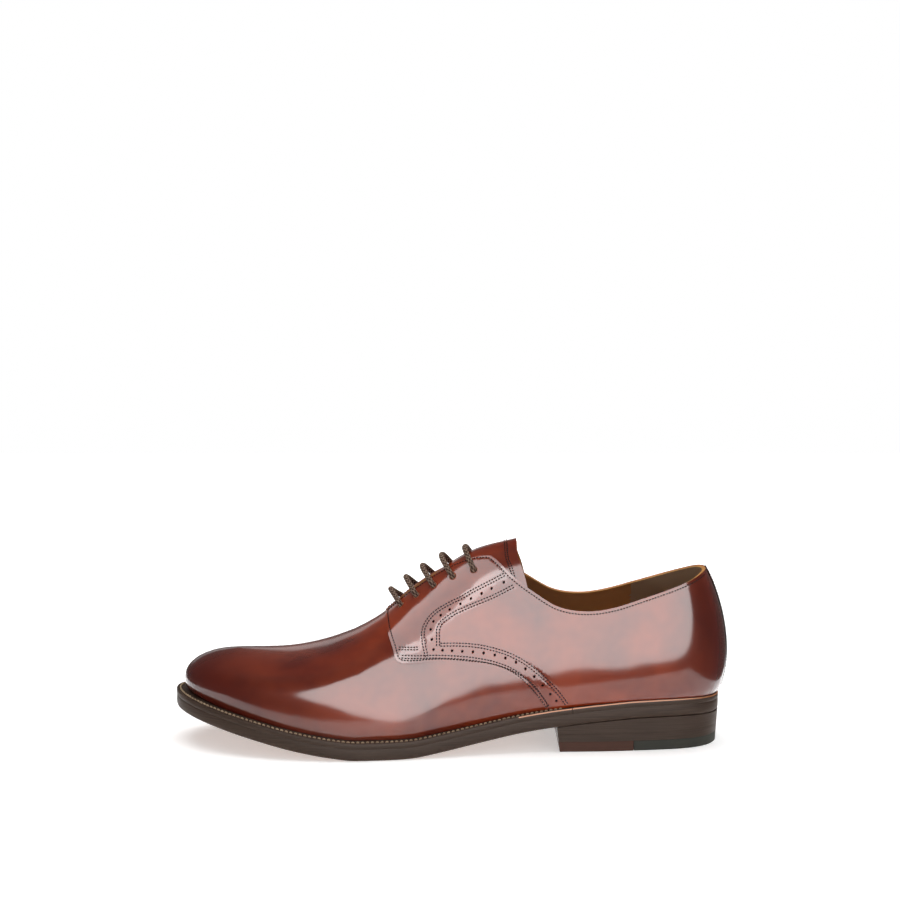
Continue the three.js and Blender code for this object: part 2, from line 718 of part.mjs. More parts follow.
// Finishes.
const polishedLeather = new THREE.MeshStandardMaterial({ color: 0x7a2c18, roughness: 0.2, metalness: 0 });
const darkLeather = new THREE.MeshStandardMaterial({ color: 0x4a1f14, roughness: 0.35, metalness: 0 });
const insoleLeather = new THREE.MeshStandardMaterial({ color: 0xa87848, roughness: 0.7, metalness: 0 });
const soleLeather = new THREE.MeshStandardMaterial({ color: 0x4a3a30, roughness: 0.55, metalness: 0 });
const rubber = new THREE.MeshStandardMaterial({ color: 0x35352f, roughness: 0.8, metalness: 0 });
const laceCotton = new THREE.MeshStandardMaterial({ color: 0x5e4c44, roughness: 0.8, metalness: 0 });

// The shoe.
const shoe = new THREE.Group();
shoe.position.x = -originFromBack;
function place(name, piece, material) {
  const mesh = new THREE.Mesh(geometryOf(piece), material);
  mesh.name = name;
  shoe.add(mesh);
}
place("upper", upperSolid, polishedLeather);
place("tongue", tongueSolid, polishedLeather);
place("insole", insoleSolid, insoleLeather);
place("welt", weltSolid, darkLeather);
place("heel_rand", randSolid, darkLeather);
place("outsole", outsoleSolid, soleLeather);
heelLifts.forEach((lift, i) => place(`heel_lift_${i + 1}`, lift, soleLeather));
place("top_lift_rubber", rubberSolid, rubber);
place("top_lift_leather", leatherTipSolid, soleLeather);
eyelets.forEach(({ at, out }, i) => {
  place(`lace_bar_${i + 1}`, laceBar(at, ballWidth * out), laceCotton);
});

export default shoe;
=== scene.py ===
import math

import bpy
import numpy as np
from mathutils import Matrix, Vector
from mathutils.geometry import delaunay_2d_cdt
from mathutils.kdtree import KDTree


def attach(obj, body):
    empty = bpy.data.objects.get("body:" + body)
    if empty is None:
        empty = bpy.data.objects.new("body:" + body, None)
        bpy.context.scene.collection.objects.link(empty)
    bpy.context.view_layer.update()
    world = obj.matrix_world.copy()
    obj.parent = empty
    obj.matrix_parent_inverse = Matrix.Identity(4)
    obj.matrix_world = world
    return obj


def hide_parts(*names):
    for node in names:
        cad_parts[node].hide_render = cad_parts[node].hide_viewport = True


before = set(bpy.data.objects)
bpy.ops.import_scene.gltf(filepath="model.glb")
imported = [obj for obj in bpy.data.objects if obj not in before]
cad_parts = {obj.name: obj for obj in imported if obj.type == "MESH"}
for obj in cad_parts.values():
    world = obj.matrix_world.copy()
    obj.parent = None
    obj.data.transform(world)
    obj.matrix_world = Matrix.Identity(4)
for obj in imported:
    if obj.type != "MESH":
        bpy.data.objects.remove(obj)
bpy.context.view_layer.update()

scene = bpy.context.scene
MM = 0.001

# The studio: a pale table, white paper all round, and a large round soft box whose shape shows in the polish.
# The camera stands just over a metre from the outer side, twelve degrees up, and looks down by only six,
# which leaves the shoe low in the picture.
aim = Vector((0.1185, 0.0, 0.048))
camera_height = math.radians(12.2)
camera_distance = 1.1
camera_pitch = math.radians(6.345)
camera_yaw = math.radians(0.087)
camera = bpy.data.objects.new("camera", bpy.data.cameras.new("camera"))
camera.location = aim + Vector((0, math.cos(camera_height), math.sin(camera_height))) * camera_distance
camera_ahead = Vector((-math.sin(camera_yaw), -math.cos(camera_pitch), -math.sin(camera_pitch)))
camera.rotation_euler = camera_ahead.to_track_quat("-Z", "Y").to_euler()
camera.data.sensor_width = 36.0
camera.data.lens = 78.79
scene.collection.objects.link(camera)
scene.camera = camera
scene.view_settings.view_transform = "Standard"


def linear(colour):
    """An sRGB hex colour as linear red, green and blue, with full alpha."""
    parts = [int(colour[i:i + 2], 16) / 255 for i in (1, 3, 5)]
    return [p / 12.92 if p <= 0.04045 else ((p + 0.055) / 1.055) ** 2.4 for p in parts] + [1.0]


def add(material, kind, links=(), **settings):
    """Adds a node to a material. Settings name properties or sockets; links are (socket, source) pairs."""
    node = material.node_tree.nodes.new(kind)
    for name, value in settings.items():
        if hasattr(node, name):
            setattr(node, name, value)
        else:
            node.inputs[name.replace("_", " ")].default_value = value
    for socket, source in links:
        material.node_tree.links.new(source, node.inputs[socket])
    return node


def new_material(name):
    material = bpy.data.materials.new(name)
    material.use_nodes = True
    material.node_tree.nodes.clear()
    return material


def finish_material(material, shader):
    add(material, "ShaderNodeOutputMaterial", [("Surface", shader.outputs[0])])
    return material


def flat_sheet(name, start, one_way, other_way, material):
    """A flat sheet that spans two ways from the corner where it starts."""
    start, one_way, other_way = Vector(start), Vector(one_way), Vector(other_way)
    corners = [start, start + one_way, start + one_way + other_way, start + other_way]
    mesh = bpy.data.meshes.new(name)
    mesh.from_pydata(corners, [], [(0, 1, 2, 3)])
    mesh.materials.append(material)
    sheet = bpy.data.objects.new(name, mesh)
    scene.collection.objects.link(sheet)
    return sheet


# Matt white paint, which glows more the further it lies from the shoe, so that the picture ends in white.
# The floor that the camera sees is left out of the polish, where only a small table shows: a dark gap lies
# between the table's front edge and the soft box.
floor_paint = new_material("matt_white_paint")
floor_here = add(floor_paint, "ShaderNodeTexCoord").outputs["Object"]
floor_reach = add(floor_paint, "ShaderNodeVectorMath", [(0, floor_here)], operation="LENGTH")
floor_glow = add(floor_paint, "ShaderNodeMapRange", [("Value", floor_reach.outputs["Value"])],
                 From_Min=0.3, From_Max=0.9, To_Min=0.42, To_Max=1.0)
floor_shader = add(floor_paint, "ShaderNodeBsdfPrincipled", [("Emission Strength", floor_glow.outputs[0])],
                   Base_Color=linear("#eeeeee"), Roughness=0.9, Emission_Color=linear("#ffffff"))
finish_material(floor_paint, floor_shader)
floor_half = 3.0
floor_start = (-floor_half, -floor_half, 0)
floor = flat_sheet("floor", floor_start, (2 * floor_half, 0, 0), (0, 2 * floor_half, 0), floor_paint)
floor.visible_glossy = False
floor.visible_shadow = False
table_back = -0.3
table_front = 0.135
table_heel_end = -0.1
table_toe_end = 0.45
table_below = -0.0004
table_start = (table_heel_end, table_back, table_below)
table_length = table_toe_end - table_heel_end
table_depth = table_front - table_back
table = flat_sheet("table_top", table_start, (table_length, 0, 0), (0, table_depth, 0), floor_paint)
table.visible_camera = False
table.visible_shadow = False

# White paper on all four sides. It shines for the camera alone, and takes no part in the light on the shoe.
backdrop_glow = new_material("lit_white_paper")
backdrop_shader = add(backdrop_glow, "ShaderNodeEmission", Color=linear("#ffffff"), Strength=1.0)
finish_material(backdrop_glow, backdrop_shader)
backdrop_away = 1.4
backdrop_foot = -0.01
backdrop_top = 3.0
for name, side in (("far", (0, -1)), ("near", (0, 1)), ("toe", (1, 0)), ("heel", (-1, 0))):
    sideways = Vector((abs(side[1]), abs(side[0]), 0)) * floor_half
    paper_start = Vector((*side, 0)) * backdrop_away - sideways + Vector((0, 0, backdrop_foot))
    upwards = (0, 0, backdrop_top - backdrop_foot)
    paper = flat_sheet(f"backdrop_{name}", paper_start, 2 * sideways, upwards, backdrop_glow)
    paper.visible_glossy = False
    paper.visible_diffuse = False
    paper.visible_shadow = False

world = bpy.data.worlds.new("studio")
scene.world = world
world.use_nodes = True
world.node_tree.nodes["Background"].inputs["Color"].default_value = (1, 0.97, 0.94, 1)
world.node_tree.nodes["Background"].inputs["Strength"].default_value = 0.12


def soft_box(name, turned, raised, distance, width, height, radiance, shape="ELLIPSE"):
    """A soft box that faces the shoe, turned from the camera towards the toe and raised, in degrees."""
    turned, raised = math.radians(turned), math.radians(raised)
    light = bpy.data.lights.new(name, "AREA")
    light.shape = shape
    light.size = width
    light.size_y = height
    area = width * height * (math.pi / 4 if shape == "ELLIPSE" else 1)
    light.energy = radiance * math.pi * area
    lamp = bpy.data.objects.new(name, light)
    flat = Vector((math.sin(turned), math.cos(turned), 0)) * math.cos(raised)
    towards = flat + Vector((0, 0, math.sin(raised)))
    lamp.location = aim + towards * distance
    lamp.rotation_euler = towards.to_track_quat("Z", "Y").to_euler()
    lamp.visible_camera = False
    scene.collection.objects.link(lamp)
    return lamp


# The round box stands there twice, once for the shine alone and once for the diffuse light alone. A box
# overhead adds diffuse light, and a low strip behind the shoe draws a line of light on its far side.
round_box = (-14, 24, 1.3, 2.1, 1.96)
shine = soft_box("round_soft_box", *round_box, 8.0)
shine.visible_diffuse = False
fill = soft_box("round_soft_box_fill", *round_box, 2.5)
fill.visible_glossy = False
overhead = soft_box("overhead_box", 180, 78, 1.2, 1.6, 1.2, 3.2, "RECTANGLE")
overhead.visible_glossy = False
soft_box("far_strip", 163, 11, 1.5, 0.9, 0.22, 0.5, "RECTANGLE")

# The last: the foot-shaped form that the upper is pulled over, a left one of 301 mm sole length.
# Its plan, ridge and cross sections give every piece of leather its shape. Lengths are in millimetres.
sole_length = 301
ball_width = 94
instep_height = 94
heel_lift = 18.4
toe_spring = 19
origin_from_back = 32
seam = 0.3
heel_margin = 1.2
toe_margin = 7
heel_radius = 27
toe_radius = 23
toe_shift = 3
heel_inset = 38.8
toe_inset = 28
outsole_thickness = 6.4
welt_thickness = 3
welt_under = outsole_thickness + seam
welt_top = welt_under + welt_thickness
upper_under = welt_top + seam

# at (share of the feather line's length), outer and inner half widths (shares of ball_width)
feather_line = [
    (0.1, 0.293, 0.282), (0.2, 0.33, 0.309), (0.32, 0.334, 0.296), (0.42, 0.362, 0.293), (0.52, 0.425, 0.345),
    (0.62, 0.485, 0.43), (0.7, 0.505, 0.474), (0.78, 0.482, 0.455), (0.86, 0.42, 0.395), (0.93, 0.316, 0.3),
]
# at (share of sole_length), height (share of instep_height), aside (share of ball_width)
ridge_line = [
    (0.1, 1.03, 0), (0.2, 1.036, -0.008), (0.3, 1.023, -0.018), (0.38, 0.994, -0.026),
    (0.45, 0.975, -0.032), (0.5, 0.915, -0.034), (0.54, 0.836, -0.034), (0.575, 0.752, -0.034),
    (0.615, 0.64, -0.033), (0.65, 0.566, -0.033), (0.7, 0.478, -0.032), (0.75, 0.406, -0.032),
    (0.8, 0.352, -0.032), (0.85, 0.318, -0.032), (0.9, 0.292, -0.032),
]
# at (share of the feather line's length), shoulder, crown, bulge (share of ball_width)
sections = [
    (0, 2.1, 2, 0.066), (0.12, 2.1, 2, 0.05), (0.27, 2.1, 2.1, 0.038), (0.38, 2.3, 2.3, 0.032),
    (0.45, 2.5, 2.4, 0.028), (0.52, 2.3, 2.2, 0.022), (0.57, 2.3, 2.05, 0.016), (0.62, 2.8, 2, 0.01),
    (0.68, 4, 2, 0.004), (0.76, 4.6, 2, 0.003), (0.87, 4.2, 2, 0.008), (1, 3.6, 2, 0.03),
]
# at (share of sole_length), shares of heel_lift and of toe_spring
underside = [
    (0, 0.95, 0), (0.07, 1, 0), (0.15, 0.98, 0), (0.22, 0.9, 0), (0.304, 0.74, 0), (0.365, 0.59, 0),
    (0.42, 0.42, 0), (0.475, 0.25, 0), (0.53, 0.09, 0), (0.56, 0.02, 0), (0.59, 0, 0), (0.66, 0, 0),
    (0.71, 0, 0.08), (0.77, 0, 0.23), (0.845, 0, 0.48), (0.92, 0, 0.74), (1, 0, 1),
]
# at (share of sole_length), how far the sole's margin has grown from heel_margin towards toe_margin
margins = [(0, 0), (0.15, 0.04), (0.3, 0.3), (0.42, 0.52), (0.55, 0.8), (0.7, 0.9), (0.85, 0.93), (1, 1)]


def unit(vectors):
    """The same directions, each with a length of one."""
    return vectors / np.linalg.norm(vectors, axis=-1, keepdims=True)


def travelled(points):
    """How far along a line of points each of them lies."""
    return np.concatenate([[0], np.cumsum(np.linalg.norm(np.diff(points, axis=0), axis=1))])


def sampled(at, length, line):
    """Points of a line, at the given distances along it."""
    return np.stack([np.interp(at, length, line[:, k]) for k in range(line.shape[1])], -1)


def smooth_curve(rows, column):
    """A curve through one column of a table, without kinks."""
    at, values = (np.array([row[i] for row in rows], float) for i in (0, column))
    step = np.diff(at)
    system, load = np.eye(len(at)), np.zeros(len(at))
    for i in range(1, len(at) - 1):
        system[i, i - 1:i + 2] = step[i - 1], 2 * (step[i - 1] + step[i]), step[i]
        load[i] = 6 * ((values[i + 1] - values[i]) / step[i] - (values[i] - values[i - 1]) / step[i - 1])
    bend = np.linalg.solve(system, load)

    def value(place):
        place = np.clip(place, at[0], at[-1])
        i = np.clip(np.searchsorted(at, place) - 1, 0, len(step) - 1)
        b = (place - at[i]) / step[i]
        a = 1 - b
        curved = ((a ** 3 - a) * bend[i] + (b ** 3 - b) * bend[i + 1]) * step[i] ** 2 / 6
        return a * values[i] + b * values[i + 1] + curved

    return value


def level_curve(rows, column):
    """A curve through one column that stays level where neighbouring rows are level."""
    at, values = (np.array([row[i] for row in rows], float) for i in (0, column))
    step = np.diff(at)
    slope = np.diff(values) / step
    product, total = slope[:-1] * slope[1:], slope[:-1] + slope[1:]
    inner = np.where(product > 0, 2 * product / np.where(product > 0, total, 1), 0)
    tangent = np.concatenate([slope[:1], inner, slope[-1:]])

    def value(place):
        place = np.clip(place, at[0], at[-1])
        i = np.clip(np.searchsorted(at, place) - 1, 0, len(step) - 1)
        t = (place - at[i]) / step[i]
        risen = (values[i + 1] - values[i]) * t * t * (3 - 2 * t)
        leaned = t * (1 - t) ** 2 * tangent[i] + t * t * (t - 1) * tangent[i + 1]
        return values[i] + risen + step[i] * leaned

    return value


heel_share = level_curve(underside, 1)
toe_share = level_curve(underside, 2)
grown = level_curve(margins, 1)
ridge_share = smooth_curve(ridge_line, 1)
ridge_aside = smooth_curve(ridge_line, 2)
shoulder = smooth_curve(sections, 1)
crown = level_curve(sections, 2)
bulge = smooth_curve(sections, 3)
upper_length = sole_length - heel_margin - toe_margin
upper_middle = heel_margin + upper_length / 2


def half_width(column):
    """Half widths of the feather line, divided by the fullness of an oval, so that both ends are round."""
    ends = [math.sqrt(radius * upper_length / 2) for radius in (heel_radius, toe_radius)]
    rows = [(row[0], row[column] * ball_width / math.sqrt(1 - (2 * row[0] - 1) ** 2)) for row in feather_line]
    return smooth_curve([(0, ends[0]), *rows, (1, ends[1])], 1)


outer_width = half_width(1)
inner_width = half_width(2)


def underside_at(x):
    return heel_lift * heel_share(x / sole_length) + toe_spring * toe_share(x / sole_length)


def seat_at(x):
    return underside_at(x) + upper_under


def upper_plan(turn):
    """The feather line from above. A turn of 0 is the tip of the toe, and a quarter turn the outer side."""
    at = (1 + np.cos(turn)) / 2
    width = np.where(np.sin(turn) > 0, outer_width(at), inner_width(at))
    x = upper_middle + upper_length / 2 * np.cos(turn)
    return np.stack([x, width * np.sin(turn) - toe_shift * at ** 4], -1)


def outward(turn):
    along = upper_plan(turn + 0.001) - upper_plan(turn - 0.001)
    return unit(np.stack([along[..., 1], -along[..., 0]], -1))


def sole_plan(turn, further):
    margin = heel_margin + (toe_margin - heel_margin) * grown(upper_plan(turn)[..., 0] / sole_length)
    return upper_plan(turn) + outward(turn) * (margin + further)[..., None]


def last_point(turn, rise):
    """A point of the vamp's outer face, on a rib that rises from the welt (0) to the ridge (1)."""
    at = (1 + np.cos(turn)) / 2
    square = shoulder(at)
    swing = np.pi / 2 * np.clip(rise, 0, 1) ** (square / 2)
    up = np.sin(swing) ** (2 / square)
    out = np.maximum(np.cos(swing), 0) ** (2 / crown(at))
    foot, side = upper_plan(turn), outward(turn)
    ahead = np.cos(turn)
    inset = np.where(ahead > 0, toe_inset * np.abs(ahead) ** 5, -heel_inset * np.abs(ahead) ** 3.5)
    ridge_x = upper_middle + upper_length / 2 * ahead - inset
    ridge_y = ball_width * ridge_aside(ridge_x / sole_length)
    ridge_z = seat_at(ridge_x) + instep_height * ridge_share(ridge_x / sole_length)
    belly = ball_width * bulge(at) * np.sin(np.pi * up ** 0.65)
    x = ridge_x + (foot[..., 0] - ridge_x) * out + side[..., 0] * belly
    y = ridge_y + (foot[..., 1] - ridge_y) * out + side[..., 1] * belly
    seat = seat_at(foot[..., 0])
    return np.stack([x, y, seat + (ridge_z - seat) * up], -1)


def last_normal(turn, rise):
    small = 0.002
    rise = np.clip(rise, 2 * small, 1 - 2 * small)
    around = last_point(turn + small, rise) - last_point(turn - small, rise)
    upward = last_point(turn, rise + small) - last_point(turn, rise - small)
    return unit(np.cross(around, upward))


def skin(places, height=0.0):
    """Points over the last. A place is a turn from toe (0) to heel (pi), and a rise that goes over the ridge:
    from the outer feather line (0) to the ridge (1) and on to the inner feather line (2)."""
    places = np.asarray(places, float)
    inner = places[..., 1] > 1
    turn = np.where(inner, 2 * np.pi - places[..., 0], places[..., 0])
    rise = np.where(inner, 2 - places[..., 1], places[..., 1])
    return last_point(turn, rise) + last_normal(turn, rise) * np.broadcast_to(height, turn.shape)[..., None]


def skin_normal(places):
    inner = places[..., 1] > 1
    turn = np.where(inner, 2 * np.pi - places[..., 0], places[..., 0])
    return last_normal(turn, np.where(inner, 2 - places[..., 1], places[..., 1]))


# Points of the skin that are kept, so that each search starts near its end.
known_skin = {}


def find_places(points, side, axes=np.eye(3)):
    """Places on one side of the last where the skin, seen along the given axes, matches the points."""
    points = np.asarray(points, float)
    low, high = (0.0, 1.0) if side > 0 else (1.0, 2.0)
    if side not in known_skin:
        known_turns = np.linspace(0.01, np.pi - 0.01, 120)
        turns, rises = np.meshgrid(known_turns, np.linspace(low + 0.005, high - 0.005, 50))
        grid = np.stack([turns.ravel(), rises.ravel()], -1)
        known_skin[side] = grid, skin(grid)
    grid, known = known_skin[side][0], known_skin[side][1] @ axes
    nearest = [int(np.argmin(((known - p) ** 2).sum(-1))) for p in points]
    places = grid[nearest].copy()
    for _ in range(8):
        miss = skin(places) @ axes - points
        small = 1e-4
        columns = [(skin(places + step) - skin(places - step)) @ axes / (2 * small)
                   for step in (np.array([small, 0]), np.array([0, small]))]
        slope = np.stack(columns, -1)
        square = np.einsum("nki,nkj->nij", slope, slope)
        square += np.eye(2) * (1e-6 * np.trace(square, axis1=1, axis2=2))[:, None, None]
        step = np.linalg.solve(square, np.einsum("nki,nk->ni", slope, miss)[..., None])[..., 0]
        places -= np.clip(step, -0.1, 0.1)
        places[:, 0] = np.clip(places[:, 0], 0, np.pi)
        places[:, 1] = np.clip(places[:, 1], low, high)
    return places, np.linalg.norm(skin(places) @ axes - points, axis=-1)


def spline(points, count):
    """A round curve through points, evenly sampled."""
    points = np.asarray(points, float)
    padded = np.concatenate([[2 * points[0] - points[1]], points, [2 * points[-1] - points[-2]]])
    t = np.linspace(0, len(points) - 1, count)
    i = np.minimum(t.astype(int), len(points) - 2)
    t = (t - i)[:, None]
    a, b, c, d = (padded[i + k] for k in range(4))
    return b + 0.5 * t * (c - a + t * (2 * a - 5 * b + 4 * c - d + t * (3 * (b - c) + d - a)))


def crossing(first, second):
    """Where two lines of places cross: the index in each, and the place."""
    for i in range(len(first) - 1):
        a, r = first[i], first[i + 1] - first[i]
        c, s = second[:-1], np.diff(second, axis=0)
        across = r[0] * s[:, 1] - r[1] * s[:, 0]
        across[np.abs(across) < 1e-15] = 1e-15
        t = ((c[:, 0] - a[0]) * s[:, 1] - (c[:, 1] - a[1]) * s[:, 0]) / across
        q = ((c[:, 0] - a[0]) * r[1] - (c[:, 1] - a[1]) * r[0]) / across
        hits = np.where((t >= 0) & (t <= 1) & (q >= 0) & (q <= 1))[0]
        if len(hits):
            return i, int(hits[0]), a + r * t[hits[0]]
    raise ValueError("the lines do not cross")


def even(line, spacing):
    """A line of places, sampled evenly by its length over the last."""
    points = skin(line)
    length = travelled(points)
    keep = np.concatenate([[True], np.diff(length) > 1e-9])
    steps = max(1, round(length[-1] / spacing))
    return sampled(np.linspace(0, length[-1], steps + 1), length[keep], line[keep])


def beside(line, distance, side):
    """A line of places beside another on the last. From outside, a positive distance lies on its left."""
    points = skin(line)
    across = unit(np.cross(skin_normal(line), np.gradient(points, axis=0)))
    return find_places(points + across * distance, side)[0]


from_aside = np.eye(3)[:, [0, 2]]
from_overhead = np.eye(3)[:, [0, 1]]


def from_side(rows, side, count=160):
    """A line of places from a side outline: rows of a share of sole_length and a height above the welt."""
    rows = spline(rows, count)
    x = rows[:, 0] * sole_length
    flat = np.stack([x, seat_at(x) + instep_height * rows[:, 1]], -1)
    places, miss = find_places(flat, side, from_aside)
    return places[miss < 0.4]


# Panels of leather are cut flat, pulled over the last and skived at their edges. One function makes each as a
# closed sheet: a net of points inside its outline, pressed to the skin, with a rounded rim to its flesh side.
net_spacing = 1.3
girth = 90
plan_rise = 0.35
plan_turns = np.linspace(0, np.pi, 400)
plan_length = travelled(skin(np.stack([plan_turns, np.full(len(plan_turns), plan_rise)], -1)))


def flattened(places):
    return np.stack([np.interp(places[:, 0], plan_turns, plan_length), places[:, 1] * girth], -1)


def inside(points, outline):
    """Whether points lie inside a closed outline."""
    found = np.zeros(len(points), bool)
    for a, b in zip(outline, np.roll(outline, -1, axis=0)):
        if a[1] != b[1]:
            spans = (a[1] > points[:, 1]) != (b[1] > points[:, 1])
            found ^= spans & (points[:, 0] < (b[0] - a[0]) * (points[:, 1] - a[1]) / (b[1] - a[1]) + a[0])
    return found


def new_piece(name, points, faces, materials, indices=None, sharp=40):
    """A mesh from points in millimetres, which rides on the shoe."""
    mesh = bpy.data.meshes.new(name)
    mesh.from_pydata(((points - [origin_from_back, 0, 0]) * MM).tolist(), [], faces)
    mesh.polygons.foreach_set("use_smooth", [True] * len(mesh.polygons))
    for material in materials:
        mesh.materials.append(material)
    if indices is not None:
        mesh.polygons.foreach_set("material_index", indices)
    mesh.validate()
    mesh.set_sharp_from_angle(angle=math.radians(sharp))
    mesh.update()
    piece = bpy.data.objects.new(name, mesh)
    scene.collection.objects.link(piece)
    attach(piece, "root")
    return piece


def leather_sheet(chains, top, bottom, rim, features=(), holes=(), pricks=(), patch_end=-1.0):
    """Points, faces and face kinds of a panel: 0 grain side, 1 upper rim, 2 flesh side and lower rim, 3 patch
    on the flesh side behind patch_end, 4 bottoms of pricked holes, painted near-black as shade. Chains are
    the outline's lines of places in order. Features are (places, height, clearance) groups."""
    outline = np.concatenate([even(chain, net_spacing * 0.8)[:-1] for chain in chains])
    flat_outline = flattened(outline)
    columns = int(plan_length[-1] / net_spacing)
    rows = int(2 * girth / net_spacing)
    lengths = (np.arange(columns) + 0.5) * plan_length[-1] / columns
    turns = np.interp(lengths, plan_length, plan_turns)
    rises = (np.arange(rows) + 0.5) * 2 / rows
    grid = np.stack(np.meshgrid(turns, rises), -1).reshape(-1, 2)
    flat_grid = flattened(grid)
    low, high = flat_outline.min(0), flat_outline.max(0)
    near = np.all((flat_grid > low) & (flat_grid < high), axis=1)
    grid, flat_grid = grid[near], flat_grid[near]
    keep = inside(flat_grid, flat_outline)
    grid, flat_grid = grid[keep], flat_grid[keep]
    blocked = [(flat_outline, net_spacing * 0.55)]
    blocked += [(flattened(p), clear) for p, _, clear in features]
    for points, clear in blocked:
        if len(points) == 0:
            continue
        tree = KDTree(len(points))
        for i, p in enumerate(points):
            tree.insert((p[0], p[1], 0), i)
        tree.balance()
        free = np.array([tree.find((p[0], p[1], 0))[2] > clear for p in flat_grid], bool)
        grid, flat_grid = grid[free], flat_grid[free]
    places = np.concatenate([outline, grid, *(p for p, _, _ in features)])
    feature_lifts = [np.broadcast_to(h, len(p)) for p, h, _ in features]
    lift = np.concatenate([np.zeros(len(outline) + len(grid)), *feature_lifts])
    flat_places = flattened(places)
    count = len(outline)
    edges = [(i, (i + 1) % count) for i in range(count)]
    out = delaunay_2d_cdt([Vector(p) for p in flat_places], edges, [], 1, 1e-5, True)
    source = [origin[0] if origin else -1 for origin in out[3]]
    triangles = np.array([[source[i] for i in face] for face in out[2]])
    triangles = triangles[(triangles >= 0).all(1)]
    turned = flat_places[triangles]
    within = inside(turned.mean(1), flat_outline)
    triangles, turned = triangles[within], turned[within]
    area = np.cross(turned[:, 1] - turned[:, 0], turned[:, 2] - turned[:, 0])
    triangles = np.where((area > 0)[:, None], triangles[:, ::-1], triangles)
    for centre, radius in holes:
        middle = skin(places[triangles].mean(1))
        triangles = triangles[np.linalg.norm(middle - centre, axis=1) > radius]
    heights = top(places) if callable(top) else np.full(len(places), float(top))
    upper_side = skin(places, heights + lift)
    lower_side = skin(places, bottom)
    keys, weld = {}, np.arange(len(places))
    for i in np.where((places[:, 0] < 1e-6) | (places[:, 0] > np.pi - 1e-6))[0]:
        weld[i] = keys.setdefault(tuple(np.round(upper_side[i], 3)), i)
    triangles = weld[triangles]
    a, b, c = triangles.T
    triangles = triangles[(a != b) & (b != c) & (c != a)]
    used = {}
    for a, b, c in triangles.tolist():
        for edge in ((a, b), (b, c), (c, a)):
            used[edge] = True
    border = [edge for edge in used if (edge[1], edge[0]) not in used]
    tangent = np.zeros((len(places), 3))
    for a, b in border:
        step = upper_side[b] - upper_side[a]
        tangent[a] += step
        tangent[b] += step
    ring = sorted({i for edge in border for i in edge})
    around = np.cross(tangent[ring], skin_normal(places[ring]))
    around /= np.maximum(np.linalg.norm(around, axis=1, keepdims=True), 1e-9)
    points = [upper_side, lower_side]
    index_of = {i: k for k, i in enumerate(ring)}
    starts = []
    total = 2 * len(places)
    for outset, height in rim:
        points.append(skin(places[ring], height) + around * outset)
        starts.append(total)
        total += len(ring)
    faces = [tuple(t) for t in triangles.tolist()]
    centres = upper_side[triangles].mean(1)
    # Faces in the bottoms of the small holes get painted shade, near-black.
    pricked = np.zeros(len(triangles), bool)
    for prick in pricks:
        pricked |= np.linalg.norm(centres - prick, axis=1) < prick_radius
    kinds = np.where(pricked, 4, 0).tolist()
    faces += [tuple(i + len(places) for i in t[::-1]) for t in triangles.tolist()]
    kinds += np.where(centres[:, 0] < patch_end, 3, 2).tolist()
    for a, b in border:
        column_a = [a, *(s + index_of[a] for s in starts), a + len(places)]
        column_b = [b, *(s + index_of[b] for s in starts), b + len(places)]
        for k in range(len(column_a) - 1):
            faces.append((column_b[k], column_a[k], column_a[k + 1], column_b[k + 1]))
            kinds.append(1 if k < (len(column_a) - 1) / 2 else 2)
    return np.concatenate(points), faces, kinds


def scale_of(size):
    """The scale of a pattern whose patches are this many millimetres across."""
    return 1 / (size * MM)


# Leather of the upper: aniline-dyed chestnut calf, burnished by hand and waxed to a hard gloss. The dye lies
# unevenly and gathers dark at toe and heel; the grain is fine and the sheet never quite flat.
chestnut = new_material("polished_chestnut_calf")
# Two browns in soft clouds, and a darker burnish towards toe and heel, give the hand-rubbed look.
here = add(chestnut, "ShaderNodeTexCoord").outputs["Object"]
along_x = add(chestnut, "ShaderNodeSeparateXYZ", [("Vector", here)]).outputs["X"]
clouds = add(chestnut, "ShaderNodeTexNoise", [("Vector", here)],
             Scale=scale_of(38.5), Detail=3.0, Roughness=0.55)
cloud_ramp = add(chestnut, "ShaderNodeMapRange", [("Value", clouds.outputs["Fac"])],
                 From_Min=0.35, From_Max=0.68)
toe_burnish = add(chestnut, "ShaderNodeMapRange", [("Value", along_x)], From_Min=0.15, From_Max=0.262)
heel_burnish = add(chestnut, "ShaderNodeMapRange", [("Value", along_x)], From_Min=0.005, From_Max=-0.03)
burnish = add(chestnut, "ShaderNodeMath", [(0, toe_burnish.outputs[0]), (1, heel_burnish.outputs[0])],
              operation="MAXIMUM")
dye = add(chestnut, "ShaderNodeMix", [("Factor", cloud_ramp.outputs[0])], data_type="RGBA")
dye.inputs[6].default_value = linear("#8a3210")
dye.inputs[7].default_value = linear("#541505")
waxed = add(chestnut, "ShaderNodeMix", [("Factor", burnish.outputs[0]), (6, dye.outputs[2])],
            data_type="RGBA")
waxed.inputs[7].default_value = linear("#3c0f0a")
# Soft swells of the sheet bend the reflections, and the fine grain under the wax softens the colour.
swell = add(chestnut, "ShaderNodeTexNoise", [("Vector", here)],
            Scale=scale_of(23.8), Detail=1.5, Roughness=0.4)
sheet_bump = add(chestnut, "ShaderNodeBump", [("Height", swell.outputs["Fac"])],
                 Strength=0.35, Distance=0.001)
grain = add(chestnut, "ShaderNodeTexNoise", [("Vector", here)], Scale=scale_of(0.667), Detail=2.0)
grain_bump = add(chestnut, "ShaderNodeBump",
                 [("Height", grain.outputs["Fac"]), ("Normal", sheet_bump.outputs[0])],
                 Strength=0.25, Distance=0.00008)
